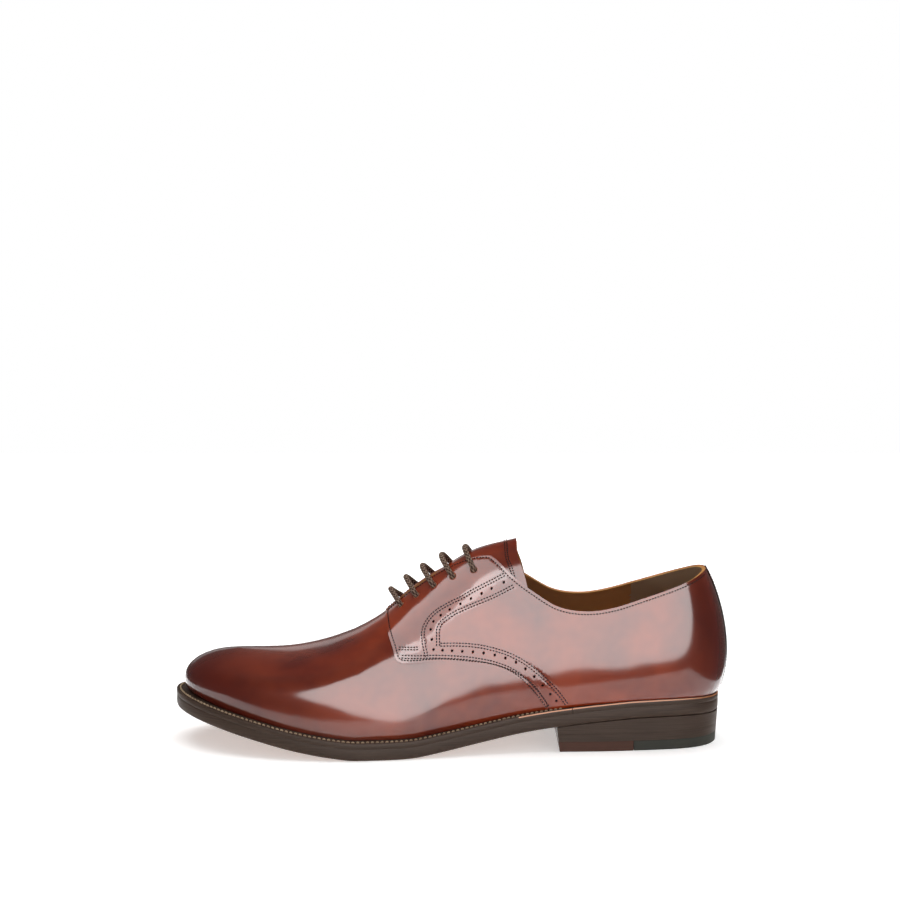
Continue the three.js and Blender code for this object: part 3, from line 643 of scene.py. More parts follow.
# The wax is a clear coat with the sharper shine, over leather that has nearly none of its own.
chestnut_links = [("Base Color", waxed.outputs[2]), ("Normal", grain_bump.outputs[0]),
                  ("Coat Normal", sheet_bump.outputs[0])]
chestnut_shader = add(chestnut, "ShaderNodeBsdfPrincipled", chestnut_links,
                      Roughness=0.45, IOR=1.5, Specular_IOR_Level=0.04,
                      Coat_Weight=1.0, Coat_Roughness=0.13, Coat_IOR=1.5)
finish_material(chestnut, chestnut_shader)

# Cut edges of the same calf, paler where the dye has not gone in and painted lighter still as a highlight
# where the light catches the bevel: they draw a light line round each panel.
cut_edge_highlight = new_material("waxed_cut_edge_painted_highlight")
cut_edge_highlight_shader = add(cut_edge_highlight, "ShaderNodeBsdfPrincipled", Base_Color=linear("#b5694a"),
                 Roughness=0.5, Coat_Weight=0.2, Coat_Roughness=0.3)
finish_material(cut_edge_highlight, cut_edge_highlight_shader)

# Lining of undyed vegetable-tanned calf: warm tan, nearly matt, a little mottled by its fibres.
lining = new_material("vegetable_tanned_lining")
lining_here = add(lining, "ShaderNodeTexCoord").outputs["Object"]
lining_clouds = add(lining, "ShaderNodeTexNoise", [("Vector", lining_here)],
                    Scale=scale_of(16.7), Detail=4.0)
lining_dye = add(lining, "ShaderNodeMix", [("Factor", lining_clouds.outputs["Fac"])], data_type="RGBA")
lining_dye.inputs[6].default_value = linear("#b9844a")
lining_dye.inputs[7].default_value = linear("#9a6a38")
lining_grain = add(lining, "ShaderNodeTexNoise", [("Vector", lining_here)],
                   Scale=scale_of(0.556), Detail=2.0)
lining_bump = add(lining, "ShaderNodeBump", [("Height", lining_grain.outputs["Fac"])],
                  Strength=0.4, Distance=0.0001)
lining_shader = add(lining, "ShaderNodeBsdfPrincipled",
                    [("Base Color", lining_dye.outputs[2]), ("Normal", lining_bump.outputs[0])],
                    Roughness=0.62, Specular_IOR_Level=0.08)
finish_material(lining, lining_shader)

# Heel grip of brushed suede: beige-grey and quite matt, so that it reads as a napped patch inside the heel.
suede = new_material("beige_suede")
suede_here = add(suede, "ShaderNodeTexCoord").outputs["Object"]
suede_nap = add(suede, "ShaderNodeTexNoise", [("Vector", suede_here)], Scale=scale_of(1.11), Detail=3.0)
suede_bump = add(suede, "ShaderNodeBump", [("Height", suede_nap.outputs["Fac"])],
                 Strength=0.6, Distance=0.0002)
suede_shader = add(suede, "ShaderNodeBsdfPrincipled", [("Normal", suede_bump.outputs[0])],
                   Base_Color=linear("#a08a74"), Roughness=0.95, Specular_IOR_Level=0.05)
finish_material(suede, suede_shader)

# Bottoms of the punched holes: painted shade, matt and nearly black, that stands for the dark inside the
# broguing. The back strip's rims and flesh side use it too.
hole_shade_and_dark_edge = new_material("painted_hole_shade_and_dark_edge")
hole_shade_shader = add(hole_shade_and_dark_edge, "ShaderNodeBsdfPrincipled", Base_Color=linear("#0c0403"),
                      Roughness=0.9, Specular_IOR_Level=0.02)
finish_material(hole_shade_and_dark_edge, hole_shade_shader)

# Thread of the upper: waxed dark brown linen, its short stitches catching a little light.
upper_thread = new_material("waxed_brown_thread")
upper_thread_shader = add(upper_thread, "ShaderNodeBsdfPrincipled", Base_Color=linear("#2a100c"),
                          Roughness=0.8, Specular_IOR_Level=0.12)
finish_material(upper_thread, upper_thread_shader)


def between_rings(a, b, count):
    """Faces between two closed rings of points, numbered from a and from b."""
    return [(a + i, a + (i + 1) % count, b + (i + 1) % count, b + i) for i in range(count)]


# Stitches: each is a short length of waxed thread that dips into the leather at both ends. The rows of a
# piece are one mesh.
def stitches(name, rows, radius, share, material, replaced, sunk=0.35):
    """Stitches between neighbouring points of each row. Rows are (points, normals) pairs, in millimetres."""
    sides = 6
    along = np.array([0.0, 0.14, 0.5, 0.86, 1.0])
    fat = np.array([0.45, 0.9, 1.0, 0.9, 0.45])
    dip = np.array([-1.6, -0.35, 0.0, -0.35, -1.6]) * radius
    angle = np.arange(sides) * 2 * np.pi / sides
    points, faces, total = [], [], 0
    for line, normals in rows:
        start, end = line[:-1], line[1:]
        normal = unit(normals[:-1] + normals[1:])
        step = end - start
        begin = start + step * (1 - share) / 2
        across = unit(np.cross(normal, step))
        for k in range(len(begin)):
            height = (dip + radius * (1 - sunk))[:, None]
            centre = begin[k] + step[k] * share * along[:, None] + normal[k] * height
            turned = angle[None, :, None]
            ring_points = (np.cos(turned) * across[k] + np.sin(turned) * normal[k]) * radius
            points.append((centre[:, None] + ring_points * fat[:, None, None]).reshape(-1, 3))
            for r in range(len(along) - 1):
                faces += between_rings(total + r * sides, total + (r + 1) * sides, sides)
            faces.append(tuple(total + i for i in reversed(range(sides))))
            faces.append(tuple(total + (len(along) - 1) * sides + i for i in range(sides)))
            total += len(along) * sides
    piece = new_piece(name, np.concatenate(points), faces, [material], sharp=180)
    if replaced:
        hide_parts(replaced)
    return piece


def on_skin(line, pitch, height):
    """A line of places as evenly spaced points at a height over the last, with their normals."""
    places = even(line, pitch)
    return skin(places, height), skin_normal(places)


# Outlines of the pieces from the side, as they are drawn on the last before the leather is cut: at (share of
# sole_length), height above the welt (share of instep_height).
topline_rows = [
    (0, 0.745), (0.028, 0.722), (0.07, 0.664), (0.143, 0.592), (0.2, 0.549), (0.25, 0.543), (0.3, 0.587),
    (0.345, 0.69), (0.38, 0.788), (0.402, 0.868), (0.42, 0.923), (0.437, 0.972), (0.446, 1.02),
]
quarter_rows = [
    (0.614, 0.7), (0.611, 0.63), (0.605, 0.566), (0.597, 0.502), (0.592, 0.449), (0.585, 0.43),
    (0.57, 0.421), (0.53, 0.414), (0.495, 0.395), (0.458, 0.36), (0.43, 0.331), (0.402, 0.288),
    (0.375, 0.229), (0.356, 0.176), (0.343, 0.127), (0.334, 0.079), (0.326, 0.034), (0.319, -0.06),
]
throat_rows = [
    (0.36, 0.22), (0.4, 0.195), (0.45, 0.165), (0.5, 0.13), (0.535, 0.098), (0.57, 0.058), (0.6, 0.034),
    (0.63, 0.03),
]
throat_half = smooth_curve(throat_rows, 1)


def foot_rise(side):
    """The rise of the feather line on one side."""
    return 0.0 if side > 0 else 2.0


def down_to_feather(line, foot):
    """A line of places, lowest first, drawn on down to the feather line."""
    line = line[np.abs(line[:, 1] - foot) > 0.002]
    reach = (foot - line[0, 1]) / (line[1, 1] - line[0, 1])
    return np.concatenate([[line[0] + (line[1] - line[0]) * reach], line])


def throat_edge(side):
    """The edge of a facing along the throat, from its front to its top, as places."""
    x = np.linspace(0.63, 0.33, 140) * sole_length
    y = ball_width * (ridge_aside(x / sole_length) + side * throat_half(x / sole_length))
    places, miss = find_places(np.stack([x, y], -1), side, from_overhead)
    return places[miss < 0.2]


def back_seam_crossing(side):
    """The place where the topline meets the back seam."""
    rises = np.linspace(0.2, 1, 800)
    seam_line = np.stack([np.full(800, np.pi), rises if side > 0 else 2 - rises], -1)
    points = skin(seam_line)
    rows = spline(topline_rows, 200)
    topline_z = np.interp(points[:, 0], rows[:, 0] * sole_length,
                          seat_at(rows[:, 0] * sole_length) + instep_height * rows[:, 1])
    return seam_line[int(np.argmax(points[:, 2] > topline_z))]


def quarter_lines(side):
    """The lines round a quarter, in order: its front edge, throat, topline, back seam and feather line."""
    foot = foot_rise(side)
    front = down_to_feather(from_side(quarter_rows, side)[::-1], foot)
    throat = throat_edge(side)
    top = from_side(topline_rows, side)
    top = top[top[:, 0] < np.pi - 0.03]
    top = np.concatenate([[back_seam_crossing(side)], top])[::-1]
    i, k, corner = crossing(front, throat)
    front = np.concatenate([front[:i + 1], [corner]])
    throat = np.concatenate([[corner], throat[k + 1:]])
    i, k, corner = crossing(throat, top)
    throat = np.concatenate([throat[:i + 1], [corner]])
    top = np.concatenate([[corner], top[k + 1:]])
    back = np.stack([np.full(60, np.pi), np.linspace(top[-1, 1], foot, 60)], -1)
    feather = np.stack([np.linspace(np.pi, front[0, 0], 160), np.full(160, foot)], -1)
    return {"front": front, "throat": throat, "top": top, "back": back, "feather": feather}


# Quarters: one panel of calf on each side, lapped over the vamp and stitched down. Each has a tab with five
# punched lace holes, and a band of broguing: pairs of stitch rows with a line of small punched holes between.
quarter_step = 0.5
wall = 2.0
# Within this radius of a small hole's centre, the faces are painted near-black as shade.
prick_radius = 0.85
leather_rim = [(0.2, 0.44), (0.42, 0.26), (0.42, 0.1), (0.12, -0.05), (0.1, -1.5)]
band_front_rows = [
    (0.536, 0.445), (0.541, 0.515), (0.543, 0.569), (0.54, 0.61), (0.53, 0.654), (0.516, 0.685),
    (0.495, 0.713), (0.476, 0.732), (0.459, 0.753), (0.441, 0.771), (0.423, 0.787), (0.396, 0.812),
]
band_back_rows = [
    (0.516, 0.493), (0.516, 0.542), (0.516, 0.584), (0.511, 0.615), (0.501, 0.636), (0.486, 0.658),
    (0.468, 0.674), (0.45, 0.687), (0.414, 0.71), (0.38, 0.74),
]
band_top_rows = [
    (0.513, 0.502), (0.477, 0.482), (0.441, 0.449), (0.407, 0.4), (0.386, 0.361), (0.367, 0.318),
    (0.35, 0.271), (0.334, 0.221), (0.319, 0.168), (0.305, 0.114), (0.293, 0.06), (0.285, 0.02),
]
band_foot_rows = [
    (0.582, 0.46), (0.53, 0.445), (0.49, 0.42), (0.455, 0.388), (0.428, 0.355), (0.404, 0.317),
    (0.383, 0.272), (0.367, 0.226), (0.354, 0.18), (0.343, 0.134), (0.333, 0.09), (0.325, 0.05),
    (0.319, 0.02),
]
tack_rows = [(0.587, 0.503), (0.569, 0.501), (0.551, 0.499)]
hole_rows = [
    (0.398, 0.771), (0.42, 0.752), (0.438, 0.736), (0.457, 0.72), (0.476, 0.702), (0.495, 0.681),
    (0.511, 0.657), (0.524, 0.63), (0.529, 0.59), (0.527, 0.536), (0.524, 0.481), (0.508, 0.469),
    (0.491, 0.457), (0.473, 0.443), (0.454, 0.427), (0.435, 0.408), (0.415, 0.383), (0.396, 0.353),
    (0.377, 0.316), (0.36, 0.268), (0.344, 0.213), (0.329, 0.155), (0.315, 0.096), (0.304, 0.05),
]
# at (share of sole_length) and distance from the ridge's middle (share of ball_width), from the front
eyelet_rows = [(0.587, 0.144), (0.561, 0.17), (0.533, 0.197), (0.502, 0.223), (0.465, 0.24)]
hole_radius = 1.75
# Rings of points round a small hole and round a lace hole: radius, count, height and clearance.
prick_profile = [(0.01, 1, -0.42, 0.3), (0.56, 8, -0.42, 0.3), (0.72, 10, -0.02, 0.4), (1.1, 12, 0.0, 0.5)]
lace_hole_profile = [(1.4, 12, -0.5, 0.4), (1.8, 18, -0.14, 0.4), (2.3, 22, 0.02, 0.6)]


def across_ridge(at):
    """A point of the ridge, with its directions along and up."""
    x = sole_length * at
    heights = [seat_at(v) + instep_height * ridge_share(v / sole_length) for v in (x + 1, x - 1, x)]
    ahead, behind, middle = heights
    along = np.array([2, 0, ahead - behind]) / math.hypot(2, ahead - behind)
    return np.array([x, ball_width * ridge_aside(at), middle]), along, np.array([-along[2], 0, along[0]])


def facing_place(at, out):
    """The place of a facing that lies beside the ridge by a share of ball_width, square to the ridge."""
    middle, along, _ = across_ridge(at)
    axes = np.stack([along, [0, 1, 0]], -1)
    target = (middle + [0, out * ball_width, 0]) @ axes
    return find_places([target], 1 if out > 0 else -1, axes)[0][0]


def rings_round(centres, side, rings):
    """Places in rings round each of the given places. Rings are (radius, count, height, clearance) rows."""
    points, normals = skin(centres), skin_normal(centres)
    first = unit(np.cross(normals, [0, 0, 1.0]))
    second = np.cross(normals, first)
    groups = []
    for radius, count, height, clearance in rings:
        angle = (np.arange(count) * 2 * np.pi / count)[None, :, None]
        spokes = np.cos(angle) * first[:, None] + np.sin(angle) * second[:, None]
        ring_points = points[:, None] + radius * spokes
        groups.append((find_places(ring_points.reshape(-1, 3), side)[0], height, clearance))
    return groups


stitch_pitch = 1.65
stitch_radius = 0.33
stitch_share = 0.78
pair_half = 0.75
tack_half = 0.7
edge_inset = 1.7
groove_depth = 0.1
groove_half = 0.6
for side, name in ((1, "outer"), (-1, "inner")):
    lines = quarter_lines(side)
    bands = (band_front_rows, band_back_rows, band_top_rows, band_foot_rows)
    pairs = [from_side(rows, side) for rows in bands]
    rows = []
    flats = []
    for pair in pairs:
        pair = even(pair, 1.0)
        rows += [beside(pair, pair_half, side), beside(pair, -pair_half, side)]
        flat_half = pair_half + groove_half
        flats += [pair, beside(pair, flat_half, side), beside(pair, -flat_half, side)]
    tack = even(from_side(tack_rows, side), 1.0)
    rows += [beside(tack, tack_half, side), beside(tack, -tack_half, side)]
    edge = even(np.concatenate([lines["front"], lines["throat"][1:], lines["top"][1:-4]]), 1.0)
    rows.append(beside(edge, -edge_inset * side, side))
    flats += [beside(edge, -(edge_inset + way) * side, side) for way in (groove_half, -groove_half)]
    grooves = [(even(row, 1.0), -groove_depth, 0.35) for row in rows]
    grooves += [(even(row, 1.0), 0.0, 0.35) for row in flats]
    pricks = from_side(hole_rows, side, 24)
    prick_rings = rings_round(pricks, side, prick_profile)
    lace_places = np.array([facing_place(at, side * out) for at, out in eyelet_rows])
    lace_rings = rings_round(lace_places, side, lace_hole_profile)
    order = ["front", "throat", "top", "back", "feather"]
    points, faces, kinds = leather_sheet(
        [lines[k] for k in order], quarter_step, -wall, leather_rim, grooves + prick_rings + lace_rings,
        holes=[(centre, hole_radius) for centre in skin(lace_places)],
        pricks=skin(pricks, quarter_step - 0.5), patch_end=0.154 * sole_length)
    materials = [chestnut, cut_edge_highlight, lining, suede, hole_shade_and_dark_edge]
    quarter = new_piece(f"quarter_{name}", points, faces, materials, kinds)
    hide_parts("upper")
    sewn = [on_skin(row, stitch_pitch, quarter_step - 0.08) for row in rows]
    stitches(f"quarter_stitches_{name}", sewn, stitch_radius, stitch_share, upper_thread,
             "upper")

# One more soft box stands over the toe. Only the outer quarter receives it: its shine keeps the tab light.
facing_box = soft_box("facing_box", 52, 57, 1.2, 1.9, 1.0, 5.0)
facing_box.visible_diffuse = False
facing_receivers = bpy.data.collections.new("facing_box_receivers")
facing_receivers.objects.link(bpy.data.objects["quarter_outer"])
facing_box.light_linking.receiver_collection = facing_receivers

# Vamp: one panel of calf over toe and ball, lasted wet and drawn under the edge. It has no toe cap; its back
# edge is hidden under the quarters and under the tongue's stitching.
vamp_under = (-8 / sole_length, 6 / instep_height)
vamp_rim = [(0.1, -0.2), (0.1, -1.7)]


def vamp_back(side):
    """The vamp's back edge on one side, which lies a little behind the quarter's front edge."""
    rows = [(at + vamp_under[0], height + vamp_under[1]) for at, height in quarter_rows]
    line = down_to_feather(from_side(rows, side)[::-1], foot_rise(side))
    return line[np.abs(line[:, 1] - 1) > 0.01]


outer_back = vamp_back(1)
inner_back = vamp_back(-1)
ridge_place = np.array([[(outer_back[-1, 0] + inner_back[-1, 0]) / 2, 1.0]])
across = np.concatenate([outer_back[-1:], ridge_place, inner_back[-1:]])
tip_rises = np.concatenate([np.linspace(0, 1, 61), np.linspace(1, 2, 61)[1:]])
vamp_chains = [
    outer_back, across, inner_back[::-1],
    np.stack([np.linspace(inner_back[0, 0], 0, 200), np.full(200, 2.0)], -1),
    np.stack([np.zeros(121), tip_rises[::-1]], -1),
    np.stack([np.linspace(0, outer_back[0, 0], 200), np.zeros(200)], -1),
]
# Creases across the vamp, where the foot bends: at (share of sole_length), depth in millimetres, slant.
creases = [(0.672, 0.1, 0.12), (0.652, 0.14, 0.16), (0.63, 0.1, 0.2)]
crease_half = 3.2


def vamp_height(places):
    """Soft troughs and ridges where the vamp bends, fading out down its sides."""
    points = skin(places)
    height = np.zeros(len(places))
    for at, depth, slant in creases:
        off = points[:, 0] - at * sole_length + slant * np.abs(points[:, 1])
        fade = np.clip(1 - np.abs(places[:, 1] - 1) / 0.75, 0, 1)
        wave = np.exp(-(off / crease_half) ** 2) - 0.5 * np.exp(-((off - 2 * crease_half) / crease_half) ** 2)
        height -= depth * fade * wave
    return height


points, faces, kinds = leather_sheet(vamp_chains, vamp_height, -wall + 0.05, vamp_rim)
vamp = new_piece("vamp", points, faces, [chestnut, chestnut, lining], kinds)
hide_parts("upper")

# Back strip: a narrow strip of the same calf that covers the back seam, wider at the top where it turns over
# the topline as a small tab. It is stitched down along both edges.
strip_half = 1.6
strip_tab = 3.4
strip_top = 12
strip_height = 1.0
strip_rim = [(0.1, 0.9), (0.2, 0.7)]
strip_steps = 60
seam_top = {side: back_seam_crossing(side)[1] for side in (1, -1)}


def strip_middle(side):
    """The back seam from the topline down to the feather line."""
    rises = np.linspace(seam_top[side], foot_rise(side), strip_steps)
    return np.stack([np.full(strip_steps, np.pi), rises], -1)


def strip_line(side, narrower=0.0):
    """One edge of the back strip from the topline down to the feather line."""
    points = skin(strip_middle(side))
    down = points[0, 2] - points[:, 2]
    half = strip_half - narrower + (strip_tab - strip_half) * np.clip(1 - down / strip_top, 0, 1) ** 0.7
    straight = np.zeros(strip_steps)
    return find_places(points + np.stack([straight, side * half, straight], -1), side)[0]


for side, name in ((1, "outer"), (-1, "inner")):
    edge = strip_line(side)
    foot_end = np.stack([np.linspace(edge[-1, 0], np.pi, 6), np.full(6, foot_rise(side))], -1)
    top_end = np.stack([np.linspace(np.pi, edge[0, 0], 6), np.linspace(seam_top[side], edge[0, 1], 6)], -1)
    chains = [edge, foot_end, strip_middle(side)[::-1], top_end]
    points, faces, kinds = leather_sheet(chains, strip_height, quarter_step - 0.2, strip_rim)
    # The strip's rims and flesh side are coloured near-black.
    strip_kinds = np.minimum(kinds, 1).tolist()
    strip = new_piece(f"back_strip_{name}", points, faces, [chestnut, hole_shade_and_dark_edge], strip_kinds)
    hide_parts("upper")
    sewn = [on_skin(strip_line(side, 0.6)[2:-2], stitch_pitch, strip_height)]
    stitches(f"back_strip_stitches_{name}", sewn, 0.22, 0.75, upper_thread, "upper")

# Tongue: a wide piece of the same calf, lined, sewn to the vamp under the facings and free at its top, where
# two rows of stitches run down near its edge.
tongue_rows = [(0.352, 0.68), (0.361, 0.8), (0.369, 0.88), (0.374, 0.94), (0.378, 1.2)]
tongue_front = 200
tongue_tip_height = 0.3
tongue_top = -2.3
tongue_under = -3.9
tongue_rim = [(0.25, -2.7), (0.3, -3.5)]


def tongue_side(side):
    """The side edge of the tongue under the quarter, from its hidden front to its free end, and that end."""
    corner_x = tongue_rows[0][0] * sole_length
    x = np.linspace(tongue_front, corner_x, 40)
    front_z = seat_at(tongue_front) + instep_height * tongue_tip_height
    corner_z = seat_at(corner_x) + instep_height * tongue_rows[0][1]
    z = np.linspace(front_z, corner_z, 40)
    low = find_places(np.stack([x, z], -1), side, from_aside)[0]
    end = from_side(tongue_rows, side)
    return np.concatenate([low, end[np.abs(end[:, 1] - 1) > 0.01]])


outer_edge = tongue_side(1)
inner_edge = tongue_side(-1)
end_places, front_places = (
    np.stack([np.linspace(outer_edge[k, i], inner_edge[k, i], 40) for i in (0, 1)], -1) for k in (-1, 0))
chains = [outer_edge, end_places, inner_edge[::-1], front_places[::-1]]
points, faces, kinds = leather_sheet(chains, tongue_top, tongue_under, tongue_rim)
tongue = new_piece("tongue", points, faces, [chestnut, cut_edge_highlight, lining], kinds)
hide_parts("tongue")
tongue_stitch_rows = []
for side in (1, -1):
    free_end = from_side([(at + 0.017, height) for at, height in tongue_rows], side)
    free_end = free_end[np.abs(free_end[:, 1] - 1) > 0.02]
    second_row = beside(even(free_end, 1.0), 1.3 * side, side)
    tongue_stitch_rows += [on_skin(row, stitch_pitch, tongue_top) for row in (free_end, second_row)]
stitches("tongue_stitches", tongue_stitch_rows, stitch_radius, stitch_share, upper_thread,
         "tongue")

# Laces: one round woven cotton cord, drawn in five straight bars through the punched holes. Each bar comes up
# through a facing, bends over its edge, crosses above the tongue and goes down on the other side.
lace_radius = 1.5
lace_over = 2.2
lace_arch = 5.0
strands = 5
weave_run = 0.9
weave_depth = 0.1
cotton = new_material("woven_brown_cotton")
# A few lighter threads run through the brown ones, which keeps the cord from looking like a rod.
thread_kind = add(cotton, "ShaderNodeAttribute", attribute_name="thread")
cotton_dye = add(cotton, "ShaderNodeMix", [("Factor", thread_kind.outputs["Fac"])], data_type="RGBA")
cotton_dye.inputs[6].default_value = linear("#3e2b25")
cotton_dye.inputs[7].default_value = linear("#8d7868")
cotton_here = add(cotton, "ShaderNodeTexCoord").outputs["Object"]
cotton_fibre = add(cotton, "ShaderNodeTexNoise", [("Vector", cotton_here)], Scale=scale_of(0.25), Detail=2.0)
cotton_bump = add(cotton, "ShaderNodeBump", [("Height", cotton_fibre.outputs["Fac"])],
                  Strength=0.5, Distance=0.0001)
cotton_shader = add(cotton, "ShaderNodeBsdfPrincipled",
                    [("Base Color", cotton_dye.outputs[2]), ("Normal", cotton_bump.outputs[0])],
                    Roughness=0.8, Specular_IOR_Level=0.05)
finish_material(cotton, cotton_shader)


def cord(name, path, binormal, replaced):
    """A woven cord along a path that lies in the plane square to the binormal."""
    length = travelled(path)
    count = int(length[-1] / 0.22)
    at = np.linspace(0, length[-1], count)
    line = sampled(at, length, path)
    normal = unit(np.cross(unit(np.gradient(line, axis=0)), binormal))
    sides = 40
    angle = np.arange(sides) * 2 * np.pi / sides
    one = np.sin(strands * angle[None] + at[:, None] / weave_run * 2)
    two = np.sin(strands * angle[None] - at[:, None] / weave_run * 2)
    radius = lace_radius - weave_depth + weave_depth * np.maximum(np.abs(one), np.abs(two))
    turned = angle[None, :, None]
    spokes = np.cos(turned) * normal[:, None] + np.sin(turned) * binormal
    points = line[:, None] + radius[..., None] * spokes
    faces = []
    for r in range(count - 1):
        faces += between_rings(r * sides, (r + 1) * sides, sides)
    faces.append(tuple(range(sides))[::-1])
    faces.append(tuple((count - 1) * sides + i for i in range(sides)))
    piece = new_piece(name, points.reshape(-1, 3), faces, [cotton], sharp=180)
    thread = piece.data.attributes.new("thread", "FLOAT", "POINT")
    light = np.where(np.abs(one) > np.abs(two), one > 0.35, two > 0.75)
    thread.data.foreach_set("value", light.astype(float).ravel())
    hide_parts(replaced)
    return piece


for number, (at, out) in enumerate(eyelet_rows, 1):
    _, along, up = across_ridge(at)
    halves = []
    for side in (1, -1):
        hole_place = facing_place(at, side * out)
        hole, hole_normal = skin(hole_place, quarter_step), skin_normal(hole_place)
        edge_share = throat_half(at)
        bends = (out - lace_radius * 2 / ball_width, (out + edge_share) / 2, edge_share)
        over = [facing_place(at, side * share) for share in bends]
        inward = skin(over[0], quarter_step) - hole
        inward /= np.linalg.norm(inward)
        halves.append([
            hole - hole_normal * 2.6, hole - hole_normal * 1.2, hole + inward * 0.15,
            hole + inward * 0.95 + hole_normal * 1.35, skin(over[0], quarter_step + lace_over * 0.95),
            skin(over[1], quarter_step + lace_over), skin(over[2], quarter_step + lace_over),
        ])
    outer_end, inner_end = halves[0].pop(), halves[1].pop()
    crest = [outer_end + (inner_end - outer_end) * part + up * lace_arch * lifted
             for part, lifted in ((0.12, 0.62), (0.5, 1.0), (0.88, 0.62))]
    path = spline(np.array([*halves[0], *crest, *halves[1][::-1]]), 240)
    cord(f"lace_{number}", path, along, f"lace_bar_{number}")

# Sole leather: thick oak-bark leather, stained dark brown and hot-waxed at its edge with an iron. Its layers
# and fibres show there as fine level lines.
sole_leather = new_material("waxed_sole_edge")
sole_here = add(sole_leather, "ShaderNodeTexCoord").outputs["Object"]
sole_lines = add(sole_leather, "ShaderNodeMapping", [("Vector", sole_here)])
sole_lines.inputs["Scale"].default_value = (scale_of(25), scale_of(25), scale_of(0.385))
sole_fibre = add(sole_leather, "ShaderNodeTexNoise", [("Vector", sole_lines.outputs[0])],
                 Scale=1.0, Detail=3.0)
sole_dye = add(sole_leather, "ShaderNodeMix", [("Factor", sole_fibre.outputs["Fac"])], data_type="RGBA")
sole_dye.inputs[6].default_value = linear("#241b16")
sole_dye.inputs[7].default_value = linear("#4d3d33")
sole_bump = add(sole_leather, "ShaderNodeBump", [("Height", sole_fibre.outputs["Fac"])],
                Strength=0.3, Distance=0.0002)
sole_shader = add(sole_leather, "ShaderNodeBsdfPrincipled",
                  [("Base Color", sole_dye.outputs[2]), ("Normal", sole_bump.outputs[0])],
                  Roughness=0.5, Specular_IOR_Level=0.08)
finish_material(sole_leather, sole_shader)

# Bottom of the sole: smooth oak-bark leather, stained mid brown, with a soft sheen.
sole_bottom = new_material("stained_sole_bottom")
bottom_here = add(sole_bottom, "ShaderNodeTexCoord").outputs["Object"]
bottom_clouds = add(sole_bottom, "ShaderNodeTexNoise", [("Vector", bottom_here)],
                    Scale=scale_of(22.2), Detail=5.0)
bottom_dye = add(sole_bottom, "ShaderNodeMix", [("Factor", bottom_clouds.outputs["Fac"])], data_type="RGBA")
bottom_dye.inputs[6].default_value = linear("#6b4327")
bottom_dye.inputs[7].default_value = linear("#8a5c38")
bottom_shader = add(sole_bottom, "ShaderNodeBsdfPrincipled", [("Base Color", bottom_dye.outputs[2])],
                    Roughness=0.45, Specular_IOR_Level=0.2)
finish_material(sole_bottom, bottom_shader)

# Painted highlight: a thin light orange-tan line that marks the rounded top of the edge, from the waist back,
# where the light catches it.
edge_highlight_paint = new_material("painted_edge_highlight")
edge_highlight_shader = add(edge_highlight_paint, "ShaderNodeBsdfPrincipled", Base_Color=linear("#a8673a"), Roughness=0.5)
finish_material(edge_highlight_paint, edge_highlight_shader)


half_turns = (np.arange(260) + 0.5) * np.pi / 260
ring_turns = np.concatenate([half_turns, 2 * np.pi - half_turns[::-1]])


def ring(plan, height):
    """A ring of points round a plan, at a height that may change along the sole."""
    z = height(plan[:, 0]) if callable(height) else np.full(len(plan), float(height))
    return np.concatenate([plan, z[:, None]], 1)


def above(distance):
    return lambda x: underside_at(x) + distance


def stack(rings):
    """Points and faces of a closed solid over rings, from the lowest to the highest, its two lids last."""
    count = len(rings[0])
    faces = []
    for level in range(len(rings) - 1):
        faces += between_rings(level * count, (level + 1) * count, count)
    top = (len(rings) - 1) * count
    for i in range(count // 2 - 1):
        faces.append((i, count - 1 - i, count - 2 - i, i + 1))
    for i in range(count // 2 - 1):
        faces.append((top + i, top + i + 1, top + count - 2 - i, top + count - 1 - i))
    return np.concatenate(rings), faces


def sole_ring(further, height):
    return ring(sole_plan(ring_turns, further), height)


def seat_ring(inward, height):
    return ring(upper_plan(ring_turns) - outward(ring_turns) * inward, height)


# Outsole: one piece of bend leather from toe to heel, stitched to the welt. Its edge is trimmed, slightly
# rounded by the edge iron and waxed.
outsole_profile = [
    (-2.2, 0.0), (-0.9, 0.12), (-0.25, 0.6), (0.0, 1.4), (0.1, 3.0), (0.05, 5.4), (-0.05, 6.1), (-0.2, 6.4),
]
points, faces = stack([sole_ring(further, above(height)) for further, height in outsole_profile])
lid_count = len(ring_turns) // 2 - 1
wall_count = len(ring_turns) * (len(outsole_profile) - 1)
kinds = [0] * len(faces)
kinds[:len(ring_turns)] = [1] * len(ring_turns)
kinds[wall_count:wall_count + lid_count] = [1] * lid_count
outsole = new_piece("outsole", points, faces, [sole_leather, sole_bottom], kinds)
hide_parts("outsole")

# Insole: the leather footbed with its sock of lining calf, lying inside the upper on the cork filling.
wall_gap = wall + seam
insole_thickness = 2.6
welt_seat = 5
points, faces = stack([
    seat_ring(welt_seat + seam, above(welt_under)), seat_ring(welt_seat + seam, above(upper_under)),
    seat_ring(wall_gap, above(upper_under)), seat_ring(wall_gap, above(upper_under + insole_thickness - 0.6)),
    seat_ring(wall_gap + 0.6, above(upper_under + insole_thickness)),
])
insole = new_piece("insole", points, faces, [lining])
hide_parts("insole")


